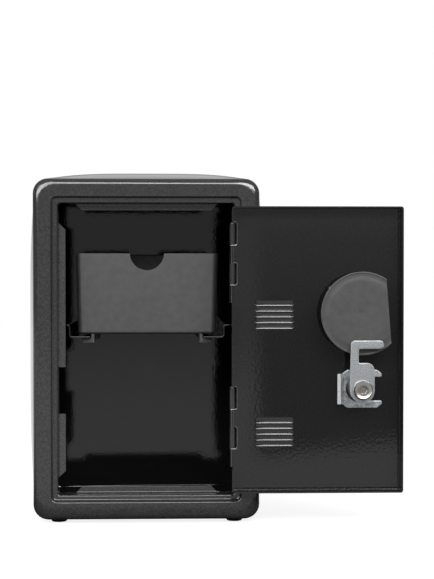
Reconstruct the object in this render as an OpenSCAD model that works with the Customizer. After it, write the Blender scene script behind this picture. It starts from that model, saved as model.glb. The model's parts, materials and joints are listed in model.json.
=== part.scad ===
// Small steel safe with a dial and a key lock, drawn with its door swung open.
// X runs to the right, Y runs into the cabinet, Z runs up.
// The origin lies on the ground, in the middle between the feet.

/* [Cabinet] */
// Width of the front frame
body_w = 120; // [115:1:135]
// Height of the front frame
body_h = 181; // [176:1:195]
// Depth from the frame's face to the back panel's face
body_d = 100; // [96:1:125]
// Sheet thickness of the cabinet
sheet_t = 1; // [0.7:0.1:1.2]
// Corner radius of the frame and the back panel
corner_r = 8; // [7:0.5:12]
// Radius of the frame's rounded outer edge
edge_r = 3; // [2:0.1:3]
// Depth of the frame's and the back panel's side walls
rim_d = 6; // [6:0.5:10]
// How far the sides swell out at mid depth
side_swell = 6.1; // [2:0.1:9]
// How far the top swells out at mid depth
top_swell = 5.2; // [1:0.1:7]

/* [Front frame] */
// Width of the frame between its outer edge and the door opening
band_w = 13.1; // [12:0.1:15]
// Depth of the step from the frame's face to the ledge
step_d = 2.5; // [1.5:0.1:3.5]
// Width of the sloped step
slope_w = 1.4; // [0.8:0.1:2]
// Width of the ledge round the door opening
ledge_w = 2.6; // [2:0.1:3]
// Distance from the opening's sides to the top and bottom door stops
end_stop_inset = 9; // [6:0.5:20]
// Distance from the opening's top to the upper side stop
upper_stop_inset = 10.3; // [6:0.1:30]
// Distance from the opening's bottom to the lower side stop
lower_stop_inset = 8.5; // [6:0.1:25]
// Height of the gap between the side stops, where the cam passes
stop_gap_h = 25; // [22:0.5:28]
// Gap between the closed door and the stops
stop_gap = 0.4; // [0.3:0.05:0.8]

/* [Feet] */
// Height of the feet
foot_h = 2.4; // [2:0.1:6]
// Radius of a foot
foot_r = 4.5; // [3.5:0.1:6]
// Distance of a foot's centre from the frame's side
foot_inset = 13; // [12.6:0.1:20]

/* [Door] */
// Sheet thickness of the door
door_t = 0.8; // [0.6:0.05:1]
// Depth of the door pan, from its face to its flange's edge
door_d = 9; // [7:0.1:10]
// Gap between the closed door and the opening on the hinge side
hinge_gap = 1.05; // [0.9:0.05:1.3]
// Gap between the closed door and the opening on the free side
free_gap = 2.6; // [1.5:0.1:3]
// Gap above and below the closed door
end_gap = 2.1; // [1:0.1:3]
// Gap between the open door and the frame's face
open_gap = 0.45; // [0.35:0.05:1]

/* [Hinges] */
// Outer radius of the rolled knuckles
knuckle_r = 1.45; // [1.35:0.05:1.7]
// Radius of the hinge pins
pin_r = 0.62; // [0.5:0.02:0.64]
// Length of a hinge
hinge_len = 42; // [38:1:44]
// Length of one of the two knuckles on the cabinet's side of a hinge
body_knuckle = 11; // [9:0.5:12]
// Distance from the opening's top down to the upper hinge
upper_hinge_drop = 11; // [8:0.5:16]
// Distance from the opening's bottom up to the lower hinge
lower_hinge_rise = 15; // [8:0.5:18]

/* [Louvres] */
// Number of slots in each group
louvre_count = 5; // [3:1:6]
// Distance between slots
louvre_pitch = 3.04; // [2.9:0.02:3.4]
// Length of a slot
louvre_len = 19.4; // [12:0.1:22]
// Distance from the door's hinge edge to the slots
louvre_inset = 13; // [12:0.1:16]
// Height of each hood above the door's face
louvre_rise = 0.9; // [0.6:0.05:1]
// Height of the upper group's first slot above the door's middle
upper_louvre_rise = 23.2; // [18:0.1:28]
// Depth of the lower group's first slot below the door's middle
lower_louvre_drop = 39.1; // [34:0.1:44]

/* [Dial] */
// Distance from the door's free edge to the dial and the key lock
lock_inset = 22.1; // [21.5:0.1:25]
// Height of the dial's axis above the door's middle
dial_rise = 19.2; // [17.5:0.1:20.5]
// Radius of the locking disc
disc_r = 21.85; // [21:0.05:22.5]
// Distance from the disc's centre to its flat
disc_flat = 13.8; // [12:0.1:15]
// Turn of the flat as the photo shows it
disc_turn = 4.3; // [0:0.1:8]
// Thickness of the locking disc
disc_t = 2; // [1.5:0.1:2.2]
// Gap between the stops and the locking disc
disc_gap = 0.85; // [0.5:0.05:1]
// Radius of the dial plate
plate_r = 20.5; // [20:0.1:21]
// Radius of the dial knob's skirt
skirt_r = 17; // [15:0.1:19]
// Radius of the dial knob's grip
grip_r = 11; // [9:0.1:13]
// Height of the dial knob above the dial plate
knob_h = 14; // [11:0.5:18]

/* [Key lock] */
// Distance from the dial's axis down to the key lock's axis
lock_drop = 39.4; // [38.5:0.1:41]
// Radius of the lock's barrel
barrel_r = 8; // [7.5:0.1:8.5]
// Half the width across the barrel's flats
barrel_flat = 6.7; // [6.5:0.1:7]
// Radius of the lock's outer flange
bezel_r = 9.5; // [9:0.1:11]
// Radius of the lock plug
plug_r = 5.45; // [5.4:0.01:5.6]
// Number of wafers
wafer_count = 5; // [3:1:5]
// Distance from the pivot to the cam's top edge
cam_reach = 25.7; // [23:0.1:26]
// Width of the cam's long arm
cam_arm_w = 4; // [3:0.1:4.5]
// Width of the cam's hook
cam_hook_w = 4.3; // [3:0.1:4.5]
// Length of the hook from the arm's outer side
cam_hook_len = 17.1; // [13:0.1:18]
// Half the width of the cam's body
cam_half_w = 6.15; // [6:0.05:6.5]
// Thickness of the cam
cam_t = 2; // [1.2:0.1:2.2]
// Gap between the disc and the cam
cam_gap = 1.4; // [0.8:0.1:2]
// Width of one leg of the lock clip
clip_leg_w = 3.75; // [3:0.05:4.5]
// Gap between the clip's legs
clip_slot = 12.6; // [12:0.1:13]
// Thickness of the key and its slot's inner width
key_t = 2; // [1.6:0.1:2.2]

/* [Tray] */
// Width of the tray at its rim
tray_w = 77.3; // [70:0.1:79]
// Height of the tray
tray_h = 43.8; // [35:0.1:48]
// Depth of the tray
tray_d = 68; // [55:1:72]
// Wall thickness of the tray
tray_t = 1.6; // [1.2:0.1:2.2]
// Distance from the frame's face to the tray
tray_setback = 21; // [20.5:0.1:26]
// Narrowing of each side towards the tray's floor
tray_draft = 1.2; // [0.5:0.1:2]
// Radius of the thumb notch
notch_r = 9.2; // [7:0.1:12]

/* [Rails] */
// Height of the rails' running surface above the door's middle
rail_rise = 6.1; // [5.5:0.1:9]
// Sheet thickness of the rails
rail_t = 0.8; // [0.6:0.1:1]
// Height between the rails' upper and lower legs
rail_drop = 6.5; // [5:0.1:9]
// Gap between the tray's rim and a rail's upright
rail_side_gap = 2.6; // [1.5:0.1:3.5]
// Width of the rails' lower leg
rail_leg_w = 10.6; // [8:0.1:12]

/* [Hidden] */
$fn = 48;

seat = 0.05;              // gap between pieces of one body that are pushed together
run = 0.05;               // radial gap of a piece that turns in another
slide = 0.3;              // gap between pieces that slide past each other
eps = 0.01;               // overrun of a cut
far = 400;                // longer than the whole part

// Cabinet
front_y = -body_d / 2;
back_y = body_d / 2;
low_z = foot_h;
high_z = low_z + body_h;
mid_z = low_z + body_h / 2;
shell_front = front_y + rim_d;
shell_back = back_y - rim_d;
opening_w = body_w - 2 * band_w;
opening_h = body_h - 2 * band_w;
opening_low = low_z + band_w;
opening_top = high_z - band_w;
ledge_y = front_y + step_d;
upper_hinge_z = opening_top - upper_hinge_drop;
lower_hinge_z = opening_low + lower_hinge_rise + hinge_len;
upper_louvre_z = mid_z + upper_louvre_rise;
lower_louvre_z = mid_z - lower_louvre_drop;
dial_z = mid_z + dial_rise;
rail_z = mid_z + rail_rise;

// Hinge axis, and the door as it stands when closed
hinge_x = opening_w / 2 - knuckle_r;
hinge_y = front_y - open_gap + knuckle_r - door_t;
face_y = hinge_y + knuckle_r - door_t;
inner_y = face_y + door_t;
hinge_edge = opening_w / 2 - hinge_gap;
free_edge = -opening_w / 2 + free_gap;
door_low = opening_low + end_gap;
door_top = opening_top - end_gap;
stop_y = face_y + door_d + stop_gap;
stop_w = free_gap + door_t + 0.2;
knuckle_bore = pin_r + 0.03;
leaf_t = knuckle_r - knuckle_bore;
door_bore = pin_r + 0.08;
door_knuckle = hinge_len / 2 - body_knuckle;
knuckle_gap = 0.3;
knuckle_slot = 2 * knuckle_r;
slot_room = 0.4;

// Dial and lock stack, measured from the door's face towards the inside
axis_x = free_edge + lock_inset;
lock_z = dial_z - lock_drop;
disc_front = stop_y + sheet_t - face_y + disc_gap;
disc_back = disc_front + disc_t;
cam_front = disc_back + cam_gap;
cam_back = cam_front + cam_t;
barrel_end = cam_front - 1;
washer_t = 0.8;
screw_head_h = 2.2;
sleeve_r = 6;
neck_r = sleeve_r - 1.05;
knob_screw_r = 1.45;
cam_screw_r = 1.95;
plug_square = 6;
clip_t = 0.9;
clip_fall = 0.6;          // the clip hangs lower than the barrel by its slack
groove_flat = clip_slot / 2 - clip_fall - seat;
wafer_t = 0.6;
wafer_step = 2;
wafer_first = 2.2;
key_h = 6.6;
key_reach = 12.4;
key_tip = 1;
bow_r = 10.5;
bow_t = key_t + 0.4;
spring_r = 0.55;
spring_wire = 0.14;

// Tray and rails
tray_front = front_y + tray_setback;
tray_z = rail_z + 1.2;
tray_r = 3;
stem_out = tray_w / 2 + rail_side_gap - rail_leg_w - slide - 0.1;
stem_w = 1.8;
hook_w = 5;
hook_h = 2.6;
hook_len = 9;
rail_x = tray_w / 2 + rail_side_gap;
rail_front = face_y + cam_back + slide;
rail_back = back_y - sheet_t;

// ---------- helpers ----------

// Extrudes a drawing in X and Z from y over a length into the cabinet.
module along_y(y, len) translate([0, y + len, 0]) rotate([90, 0, 0]) linear_extrude(len) children();

// Extrudes a drawing in X and Y from z upwards.
module along_z(z, len) translate([0, 0, z]) linear_extrude(len) children();

// Extrudes a drawing in Y and Z from x to the right.
module along_x(x, len) translate([x, 0, 0]) rotate([90, 0, 90]) linear_extrude(len) children();

module box(low, high) translate(low) cube(high - low);

// Rounded rectangle in X and Z, standing on the given height.
module round_rect(w, low, high, r)
    union() {
        translate([-w / 2 + r, low]) square([w - 2 * r, high - low]);
        translate([-w / 2, low + r]) square([w, high - low - 2 * r]);
        for (x = [-w / 2 + r, w / 2 - r], z = [low + r, high - r]) translate([x, z]) circle(r);
    }

// Slab with a rounded outline whose front edge is rounded as well.
module soft_slab(w, low, high, r, edge, y, depth) {
    along_y(y + edge, depth - edge) round_rect(w, low, high, r);
    along_y(y, depth) round_rect(w - 2 * edge, low + edge, high - edge, r - edge);
    for (x = [-w / 2 + r, w / 2 - r], z = [low + r, high - r])
        translate([x, y, z]) rotate([-90, 0, 0]) rotate_extrude() {
            translate([r - edge, edge]) intersection() {
                circle(edge);
                translate([0, -edge]) square(edge);
            }
            translate([0, 0]) square([r - edge, edge]);
        }
    for (x = [-w / 2 + edge, w / 2 - edge])
        translate([x, y + edge, low + r]) cylinder(r = edge, h = high - low - 2 * r);
    for (z = [low + edge, high - edge])
        translate([-w / 2 + r, y + edge, z]) rotate([0, 90, 0]) cylinder(r = edge, h = w - 2 * r);
}

// Pressed pan: a soft slab with its inside taken out, open towards the cabinet's middle.
module soft_pan(y)
    difference() {
        soft_slab(body_w, low_z, high_z, corner_r, edge_r, y, rim_d);
        soft_slab(body_w - 2 * sheet_t, low_z + sheet_t, high_z - sheet_t, corner_r - sheet_t,
                  edge_r - sheet_t, y + sheet_t, rim_d);
    }

// Straight-sided funnel from the frame's face down to the ledge.
module funnel(lift, top_room) {
    x0 = opening_w / 2 + ledge_w;
    z0 = opening_h / 2 + ledge_w;
    grow = slope_w * (1 + (lift + top_room) / step_d);
    y0 = front_y - top_room;
    y1 = ledge_y + lift;
    intersection() {
        along_z(low_z, body_h) polygon([[-x0 - grow, y0], [x0 + grow, y0], [x0, y1], [-x0, y1]]);
        along_x(-body_w / 2, body_w)
            polygon([[y0, mid_z - z0 - grow], [y1, mid_z - z0], [y1, mid_z + z0], [y0, mid_z + z0 + grow]]);
    }
}

// ---------- cabinet ----------

module front_frame() color("#232324") {
    difference() {
        union() {
            soft_pan(front_y);
            funnel(sheet_t, 0);
            box([-opening_w / 2 - sheet_t, ledge_y, opening_low - sheet_t],
                [opening_w / 2 + sheet_t, stop_y + sheet_t, opening_top + sheet_t]);
        }
        funnel(0, 1);
        box([-opening_w / 2, front_y, opening_low], [opening_w / 2, stop_y + far / 4, opening_top]);
    }
    end_stop(opening_top, -1);
    end_stop(opening_low, 1);
    side_stop(cam_gap_z + stop_gap_h / 2, opening_top - upper_stop_inset, 1);
    side_stop(cam_gap_z - stop_gap_h / 2, opening_low + lower_stop_inset, -1);
}

stop_taper = 3.4;
cam_gap_z = lock_z - 2.2;

// Door stop bent in from the lip along the top or the bottom.
module end_stop(z, dir)
    along_y(stop_y, sheet_t)
        polygon([[end_stop_inset - opening_w / 2, z - dir * eps], [opening_w / 2 - end_stop_inset, z - dir * eps],
                 [opening_w / 2 - end_stop_inset - stop_taper, z + dir * stop_w],
                 [end_stop_inset + stop_taper - opening_w / 2, z + dir * stop_w]]);

// Door stop bent in from the lip on the free side, tapered at its far end.
module side_stop(z, end, dir)
    along_y(stop_y, sheet_t)
        polygon([[-opening_w / 2 - eps, z], [-opening_w / 2 + stop_w, z],
                 [-opening_w / 2 + stop_w, end - dir * stop_taper], [-opening_w / 2 - eps, end]]);

// The shell's outline runs from the base plate's left edge, over the top, to its right edge.
corner_steps = 6;
side_steps = 10;
top_steps = 8;
ring_steps = 10;
base_half = body_w / 2 - corner_r;

function arc_points(cx, cz, r, from, to) =
    [for (i = [0:corner_steps]) let (a = from + (to - from) * i / corner_steps) [cx + r * cos(a), cz + r * sin(a)]];

function line_points(a, b, steps) = [for (i = [1:steps - 1]) a + (b - a) * i / steps];

function outline(inset) =
    let (x = body_w / 2 - inset, low = low_z + inset, high = high_z - inset, r = corner_r - inset,
         up = line_points([-x, low + r], [-x, high - r], side_steps),
         over = line_points([-x + r, high], [x - r, high], top_steps),
         down = line_points([x, high - r], [x, low + r], side_steps))
    concat(arc_points(-x + r, low + r, r, 270, 180), up, arc_points(-x + r, high - r, r, 180, 90), over,
           arc_points(x - r, high - r, r, 90, 0), down, arc_points(x - r, low + r, r, 0, -90));

function swell_at(y) = 1 - pow(2 * y / (shell_back - shell_front), 2);

// Moves an outline point outwards where the shell swells.
function swell(p, y, inset) =
    let (f = swell_at(y), u = p[0] / (body_w / 2 - inset), v = (p[1] - mid_z) / (body_h / 2 - inset))
    [p[0] + side_swell * f * u * (1 - pow(v, 4)), p[1] + top_swell * f * max(v, 0) * (1 - pow(u, 4))];

function ring_y(i) = shell_front + (shell_back - shell_front) * i / ring_steps;

outline_count = len(outline(0));

// Index of a shell point, and a four-sided face as two triangles.
function at(i, wall, j) = (i * 2 + wall) * outline_count + j;
function two(a, b, c, d) = [[a, b, c], [a, c, d]];

module body_shell() color("#1c1c1d") {
    outer = outline(0);
    inner = outline(sheet_t);
    n = outline_count;
    points = [for (i = [0:ring_steps], wall = [0, 1], j = [0:n - 1])
        let (p = swell(wall == 0 ? outer[j] : inner[j], ring_y(i), wall * sheet_t)) [p[0], ring_y(i), p[1]]];
    sides = [for (i = [0:ring_steps - 1], j = [0:n - 2]) each concat(
        two(at(i, 0, j), at(i + 1, 0, j), at(i + 1, 0, j + 1), at(i, 0, j + 1)),
        two(at(i, 1, j), at(i, 1, j + 1), at(i + 1, 1, j + 1), at(i + 1, 1, j)))];
    caps = [for (j = [0:n - 2]) each concat(
        two(at(0, 0, j), at(0, 0, j + 1), at(0, 1, j + 1), at(0, 1, j)),
        two(at(ring_steps, 0, j), at(ring_steps, 1, j), at(ring_steps, 1, j + 1), at(ring_steps, 0, j + 1)))];
    feet_edges = [for (i = [0:ring_steps - 1]) each concat(
        two(at(i, 0, 0), at(i, 1, 0), at(i + 1, 1, 0), at(i + 1, 0, 0)),
        two(at(i, 0, n - 1), at(i + 1, 0, n - 1), at(i + 1, 1, n - 1), at(i, 1, n - 1)))];
    polyhedron(points, concat(sides, caps, feet_edges));
}

foot_x = body_w / 2 - foot_inset;
foot_y = body_d / 2 - foot_inset;
stem_r = 2;

module base_plate() color("#1c1c1d")
    difference() {
        box([-base_half, shell_front, low_z], [base_half, shell_back, low_z + sheet_t]);
        for (x = [-foot_x, foot_x], y = [-foot_y, foot_y])
            translate([x, y, low_z - eps]) cylinder(r = stem_r + seat, h = sheet_t + 2 * eps);
    }

module back_panel() color("#1c1c1d") mirror([0, 1, 0]) soft_pan(front_y);

// Push-in feet: pad below, stem through the plate, button above it.
module rubber_feet() color("#111111")
    for (x = [-foot_x, foot_x], y = [-foot_y, foot_y]) translate([x, y, low_z])
        rotate_extrude() polygon([[0, -foot_h], [foot_r - 0.5, -foot_h], [foot_r, 0.5 - foot_h], [foot_r - 0.4, 0],
                                  [stem_r, 0], [stem_r, sheet_t], [stem_r + 1, sheet_t], [stem_r, sheet_t + 1.4],
                                  [0, sheet_t + 1.4]]);

// Z-shaped sheet bracket: a wide upper leg on the side wall, an upright, and a leg under the tray.
module rail() {
    wall = body_w / 2 - sheet_t;
    wall_room = 0.15;
    v = (rail_z + rail_drop - mid_z) / (body_h / 2 - sheet_t);
    edge = [for (i = [0:ring_steps]) let (y = ring_y(i)) if (y > rail_front)
        [wall - wall_room + side_swell * swell_at(y) * (1 - pow(v, 4)), y]];
    first = wall - wall_room + side_swell * swell_at(rail_front) * (1 - pow(v, 4));
    along_z(rail_z + rail_drop - rail_t, rail_t)
        polygon(concat([[rail_x, rail_back], [rail_x, rail_front], [first - 0.2, rail_front]], edge,
                       [[wall - wall_room, rail_back]]));
    box([rail_x, rail_front, rail_z - rail_t], [rail_x + rail_t, rail_back, rail_z + rail_drop]);
    box([rail_x - rail_leg_w, rail_front, rail_z - rail_t], [rail_x + rail_t, rail_back, rail_z]);
}

module left_rail() color("#1f1f20") mirror([1, 0, 0]) rail();
module right_rail() color("#1f1f20") rail();

// ---------- hinges ----------

// Heights of the knuckles of a hinge whose top end is at z: body knuckle, door knuckle, body, door.
function body_knuckles(z) = [z - body_knuckle, z - hinge_len / 2 - body_knuckle];
function door_knuckles(z) = [z - hinge_len / 2, z - hinge_len];

module hinge_leaf(z) {
    bore_cut = 2 * eps;
    difference() {
        union() {
            for (low = body_knuckles(z)) {
                translate([hinge_x, hinge_y, low]) cylinder(r = knuckle_r, h = body_knuckle);
                box([hinge_x + knuckle_r - leaf_t, hinge_y, low],
                    [hinge_x + knuckle_r, hinge_y + 2 * knuckle_r + slot_room, low + body_knuckle]);
            }
            box([hinge_x + knuckle_r - leaf_t, hinge_y + knuckle_r + slot_room, z - hinge_len],
                [hinge_x + knuckle_r, stop_y - 0.5, z]);
        }
        translate([hinge_x, hinge_y, z - hinge_len - eps]) cylinder(r = knuckle_bore, h = hinge_len + bore_cut);
    }
}

module hinge_pin(z) {
    translate([hinge_x, hinge_y, z - hinge_len + 0.2]) cylinder(r = pin_r, h = hinge_len - 0.2);
    translate([hinge_x, hinge_y, z + seat]) cylinder(r = knuckle_r - 0.25, h = 0.6);
    translate([hinge_x, hinge_y, z - eps]) cylinder(r = pin_r, h = 0.2);
}

module upper_hinge_leaf() color("#1f1f20") hinge_leaf(upper_hinge_z);
module lower_hinge_leaf() color("#1f1f20") hinge_leaf(lower_hinge_z);
module upper_hinge_pin() color("#3a3a3c") hinge_pin(upper_hinge_z);
module lower_hinge_pin() color("#3a3a3c") hinge_pin(lower_hinge_z);

// ---------- door ----------

// Everything on the door is drawn as if closed, then swung half a turn about the hinge axis.
module swung() translate([2 * hinge_x, 2 * hinge_y, 0]) rotate([0, 0, 180]) children();

// Local frame on the door's face: Z points out of the face, Y up. Insides are at negative Z.
module on_face(z) swung() translate([axis_x, face_y, z]) rotate([90, 0, 0]) children();

module door_panel() color("#222223") swung() {
    difference() {
        union() {
            door_pan();
            for (z = [upper_hinge_z, lower_hinge_z], low = door_knuckles(z))
                translate([hinge_x, hinge_y, low + knuckle_gap])
                    cylinder(r = knuckle_r, h = door_knuckle - 2 * knuckle_gap);
            for (z = [upper_louvre_z, lower_louvre_z], i = [0:louvre_count - 1])
                hood(z - i * louvre_pitch, 0);
        }
        for (z = [upper_hinge_z, lower_hinge_z])
            translate([hinge_x, hinge_y, z - hinge_len - 1]) cylinder(r = door_bore, h = hinge_len + 2);
        for (z = [upper_louvre_z, lower_louvre_z], i = [0:louvre_count - 1])
            hood(z - i * louvre_pitch, hood_t);
        face_hole(dial_z) circle(sleeve_r + seat);
        face_hole(lock_z) barrel_outline(seat);
    }
}

module face_hole(z)
    translate([axis_x, face_y, z]) rotate([90, 0, 0]) translate([0, 0, -2 * door_t]) linear_extrude(3 * door_t)
        children();

module barrel_outline(room)
    intersection() {
        circle(barrel_r + room);
        square([far, 2 * (barrel_flat + room)], center = true);
    }

// Sheet pan with the flange, the knuckle slots and the hinge notches.
module door_pan()
    difference() {
        box([free_edge, face_y, door_low], [hinge_edge, face_y + door_d, door_top]);
        box([free_edge + door_t, inner_y, door_low + door_t], [hinge_edge - door_t, face_y + far, door_top - door_t]);
        for (z = [upper_hinge_z, lower_hinge_z]) {
            box([hinge_x, face_y - 1, z - hinge_len - slot_room], [hinge_edge + 1, face_y + far, z + 1.2]);
            box([hinge_edge - door_t - eps, inner_y + eps, z - hinge_len - slot_room],
                [hinge_edge + 1, face_y + far, z + 1.2]);
            box([hinge_x - knuckle_slot, face_y - 1, z - body_knuckle - knuckle_gap / 2],
                [hinge_edge + 1, inner_y + 1, z + 1.2]);
            box([hinge_x - knuckle_slot, face_y - 1, z - hinge_len / 2 - body_knuckle - knuckle_gap / 2],
                [hinge_edge + 1, inner_y + 1, z - hinge_len / 2 + knuckle_gap / 2]);
        }
    }

hood_t = 0.45;
hood_top = 2.75;
hood_lip = 0.5;

// One louvre: a sheet wedge pushed out of the face, open at its lower side. Inset draws its hollow.
module hood(z, inset) {
    x1 = hinge_edge - louvre_inset - inset;
    x0 = hinge_edge - louvre_inset - louvre_len + inset;
    taper = 1.2;
    rise = louvre_rise - inset;
    root = inset > 0 ? 2 * door_t : door_t;
    low = inset > 0 ? 0 : hood_lip;
    intersection() {
        along_x(x0, x1 - x0)
            polygon([[face_y + root, z + low], [face_y - rise, z + low], [face_y - rise, z + hood_lip],
                     [face_y, z + hood_top - inset], [face_y + root, z + hood_top - inset]]);
        along_z(z, hood_top)
            polygon([[x0, face_y + root], [x0, face_y], [x0 + taper, face_y - louvre_rise],
                     [x1 - taper, face_y - louvre_rise], [x1, face_y], [x1, face_y + root]]);
    }
}

// ---------- dial ----------

plate_t = 1.2;
washer_lift = 0.4;

module dial_plate() color("#28282a") on_face(dial_z)
    rotate_extrude() polygon([[neck_r + run, plate_t], [plate_r - 0.6, plate_t], [plate_r, plate_t - 0.6],
                              [plate_r, 0], [sleeve_r, 0], [sleeve_r, -door_t - 0.5], [neck_r + run, -door_t - 0.5]]);

module dial_knob() color("#1a1a1b") on_face(dial_z)
    translate([0, 0, plate_t + washer_lift]) difference() {
        rotate_extrude() polygon([[0, 0], [skirt_r, 0], [skirt_r, 1], [skirt_r - 1.5, 3.2], [grip_r + 0.8, 4],
                                  [grip_r, 5], [grip_r, knob_h - 1], [grip_r - 1, knob_h], [0, knob_h]]);
        for (a = [0:30:359]) rotate(a) translate([grip_r + 0.9, 0, 5.5]) cylinder(r = 1.6, h = knob_h);
        translate([0, 0, -eps]) cylinder(r = neck_r + seat, h = neck_h + seat);
        translate([0, 0, neck_h - 1]) cylinder(r = knob_screw_r + seat, h = knob_h);
        translate([0, 0, neck_h + 1.8]) cylinder(r = cap_r + seat, h = knob_h);
    }

neck_h = 4.5;
cap_r = 5.5;
cap_t = 1.2;

module dial_cap() color("#b9babd") on_face(dial_z)
    translate([0, 0, plate_t + washer_lift + knob_h - cap_t]) {
        cylinder(r = cap_r, h = cap_t);
        translate([0, 0, -1.2]) difference() {
            cylinder(r = cap_r, h = 1.2 + eps);
            translate([0, 0, -eps]) cylinder(r = cap_r - 1, h = 1.2 + eps);
        }
    }

module knob_screw() color("#c8c8ca") on_face(dial_z)
    translate([0, 0, plate_t + washer_lift + neck_h + 1.8 + seat]) difference() {
        union() {
            translate([0, 0, -10]) cylinder(r = knob_screw_r, h = 10 + eps);
            cylinder(r1 = 2.8, r2 = 2.4, h = 1.6);
        }
        for (a = [0, 90]) rotate(a) translate([-1.8, -0.3, 0.8]) cube([3.6, 0.6, 1]);
    }

// Thin ring with three shallow bends that keeps the knob from rattling, drawn flat.
module wave_washer() color("#a9a9ab") on_face(dial_z)
    translate([0, 0, plate_t + seat]) difference() {
        cylinder(r = sleeve_r + 3, h = washer_lift - 2 * seat);
        translate([0, 0, -eps]) cylinder(r = sleeve_r + 0.5, h = 1);
    }

module locking_disc() color("#58585a") on_face(dial_z) difference() {
    union() {
        intersection() {
            translate([0, 0, -disc_back]) rotate_extrude()
                polygon([[0, 0.5], [disc_r - 1.2, 0.5], [disc_r - 0.7, 0], [disc_r - 0.2, 0], [disc_r, 0.2],
                         [disc_r, disc_t], [0, disc_t]]);
            rotate(-disc_turn) translate([-disc_flat, -far / 2, -far / 2]) cube(far);
        }
        translate([0, 0, -disc_front - eps]) cylinder(r = neck_r + 2, h = disc_front - door_t - 1 + eps);
        translate([0, 0, -door_t - 2]) cylinder(r = neck_r, h = door_t + 2 + plate_t + washer_lift + neck_h);
        rotate(38) translate([disc_r - 0.6, -0.8, -disc_back + 0.4]) cube([1.1, 1.6, disc_t - 0.8]);
    }
    translate([0, 0, -4.5]) cylinder(r = knob_screw_r + seat, h = far);
}

// ---------- key lock ----------

module lock_housing() color("#2b2b2d") on_face(lock_z) difference() {
    union() {
        translate([0, 0, -barrel_end]) linear_extrude(barrel_end + eps) barrel_outline(0);
        rotate_extrude() polygon([[0, 0], [bezel_r, 0], [bezel_r, 1.2], [bezel_r - 0.9, 2.1], [0, 2.1]]);
    }
    translate([0, 0, -barrel_end - eps]) cylinder(r = plug_r + run, h = far);
    for (side = [-1, 1]) translate([0, side * (groove_flat + barrel_r / 2), -door_t - clip_t / 2 - 0.1])
        cube([far, barrel_r, clip_t + 0.2], center = true);
}

// Horseshoe sheet clip: two legs in the barrel's grooves, a tab bent up at its closed end.
clip_tab_x = barrel_r + 1.3;
clip_tab_h = 2 * barrel_r;
clip_tip_x = -barrel_r - 3.6;
clip_tab_len = 2.9;
clip_chamfer = 2.6;

module lock_clip() color("#a7abae") on_face(lock_z) translate([0, -clip_fall, -door_t - 0.1 - clip_t]) {
    half = clip_slot / 2 + clip_leg_w;
    linear_extrude(clip_t) difference() {
        polygon([[clip_tab_x, -clip_tab_h / 2], [clip_tab_x, clip_tab_h / 2], [clip_tab_x - clip_chamfer, half],
                 [clip_tip_x + clip_chamfer, half], [clip_tip_x, half - clip_chamfer], [clip_tip_x, clip_chamfer - half],
                 [clip_tip_x + clip_chamfer, -half], [clip_tab_x - clip_chamfer, -half]]);
        circle(barrel_r + clip_t);
        translate([2 * clip_tip_x, -clip_slot / 2]) square([-2 * clip_tip_x, clip_slot]);
    }
    translate([0, clip_tab_h / 2, 0]) rotate([90, 0, 0]) linear_extrude(clip_tab_h)
        polygon([[clip_tab_x - eps, clip_t], [clip_tab_x - eps, 0], [clip_tab_x + 0.3, 0],
                 [clip_tab_x + clip_tab_len, -clip_tab_len], [clip_tab_x + clip_tab_len + 0.6, 0.4 - clip_tab_len],
                 [clip_tab_x + clip_t, clip_t]]);
}

module lock_plug() color("#bfae7a") on_face(lock_z) difference() {
    union() {
        translate([0, 0, -cam_front]) cylinder(r = plug_r, h = cam_front + 1.6);
        translate([0, 0, -cam_back + seat]) linear_extrude(cam_t) square(plug_square, center = true);
    }
    translate([0, 0, -key_reach / 2 + 1]) cube([key_t + 2 * seat, key_h + 0.3, key_reach + 2.4], center = true);
    translate([0, 0, -cam_back - 1]) cylinder(r = cam_screw_r + seat, h = cam_back - key_reach - 0.5 + 1);
    for (i = [0:wafer_count - 1]) translate([0, 0, -wafer_first - i * wafer_step]) {
        cube([wafer_w + 0.1, 2 * wafer_half + 0.6, wafer_t + 0.1], center = true);
        translate([spring_x, -1.15, 0]) cube([pocket_w, 4.3, pocket_w], center = true);
    }
}

wafer_w = key_t + 2.4;
wafer_half = plug_r - 1.1;
pocket_w = 2 * (spring_r + spring_wire) + 2 * seat;
spring_x = wafer_w / 2 + pocket_w / 2;

module wafers() color("#c9b26a") on_face(lock_z)
    for (i = [0:wafer_count - 1]) translate([0, 0, -wafer_first - i * wafer_step]) difference() {
        union() {
            cube([wafer_w, 2 * wafer_half, wafer_t], center = true);
            translate([spring_x - 1, 0.4, 0]) cube([3, 0.8, wafer_t], center = true);
        }
        cube([key_t + 0.5, key_h + 0.5, 1], center = true);
    }

// Coil of round wire as a swept tube, for the small springs under the wafers.
module coil(r, wire, height, turns) {
    per_turn = 10;
    sides = 6;
    count = turns * per_turn;
    points = [for (i = [0:count], k = [0:sides - 1])
        let (a = 360 * i / per_turn, b = 360 * k / sides, q = r + wire * cos(b))
        [q * cos(a), q * sin(a), height * i / count + wire * sin(b)]];
    walls = [for (i = [0:count - 1], k = [0:sides - 1])
        let (a = i * sides + k, b = i * sides + (k + 1) % sides) each [[a, b, b + sides], [a, b + sides, a + sides]]];
    ends = [for (k = [1:sides - 2]) each [[0, k + 1, k], [count * sides, count * sides + k, count * sides + k + 1]]];
    polyhedron(points, concat(walls, ends));
}

module wafer_springs() color("#d5d5d7") on_face(lock_z)
    for (i = [0:wafer_count - 1])
        translate([spring_x, -3, -wafer_first - i * wafer_step])
            rotate([-90, 0, 0]) coil(spring_r, spring_wire, 2.8, 4);

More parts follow.
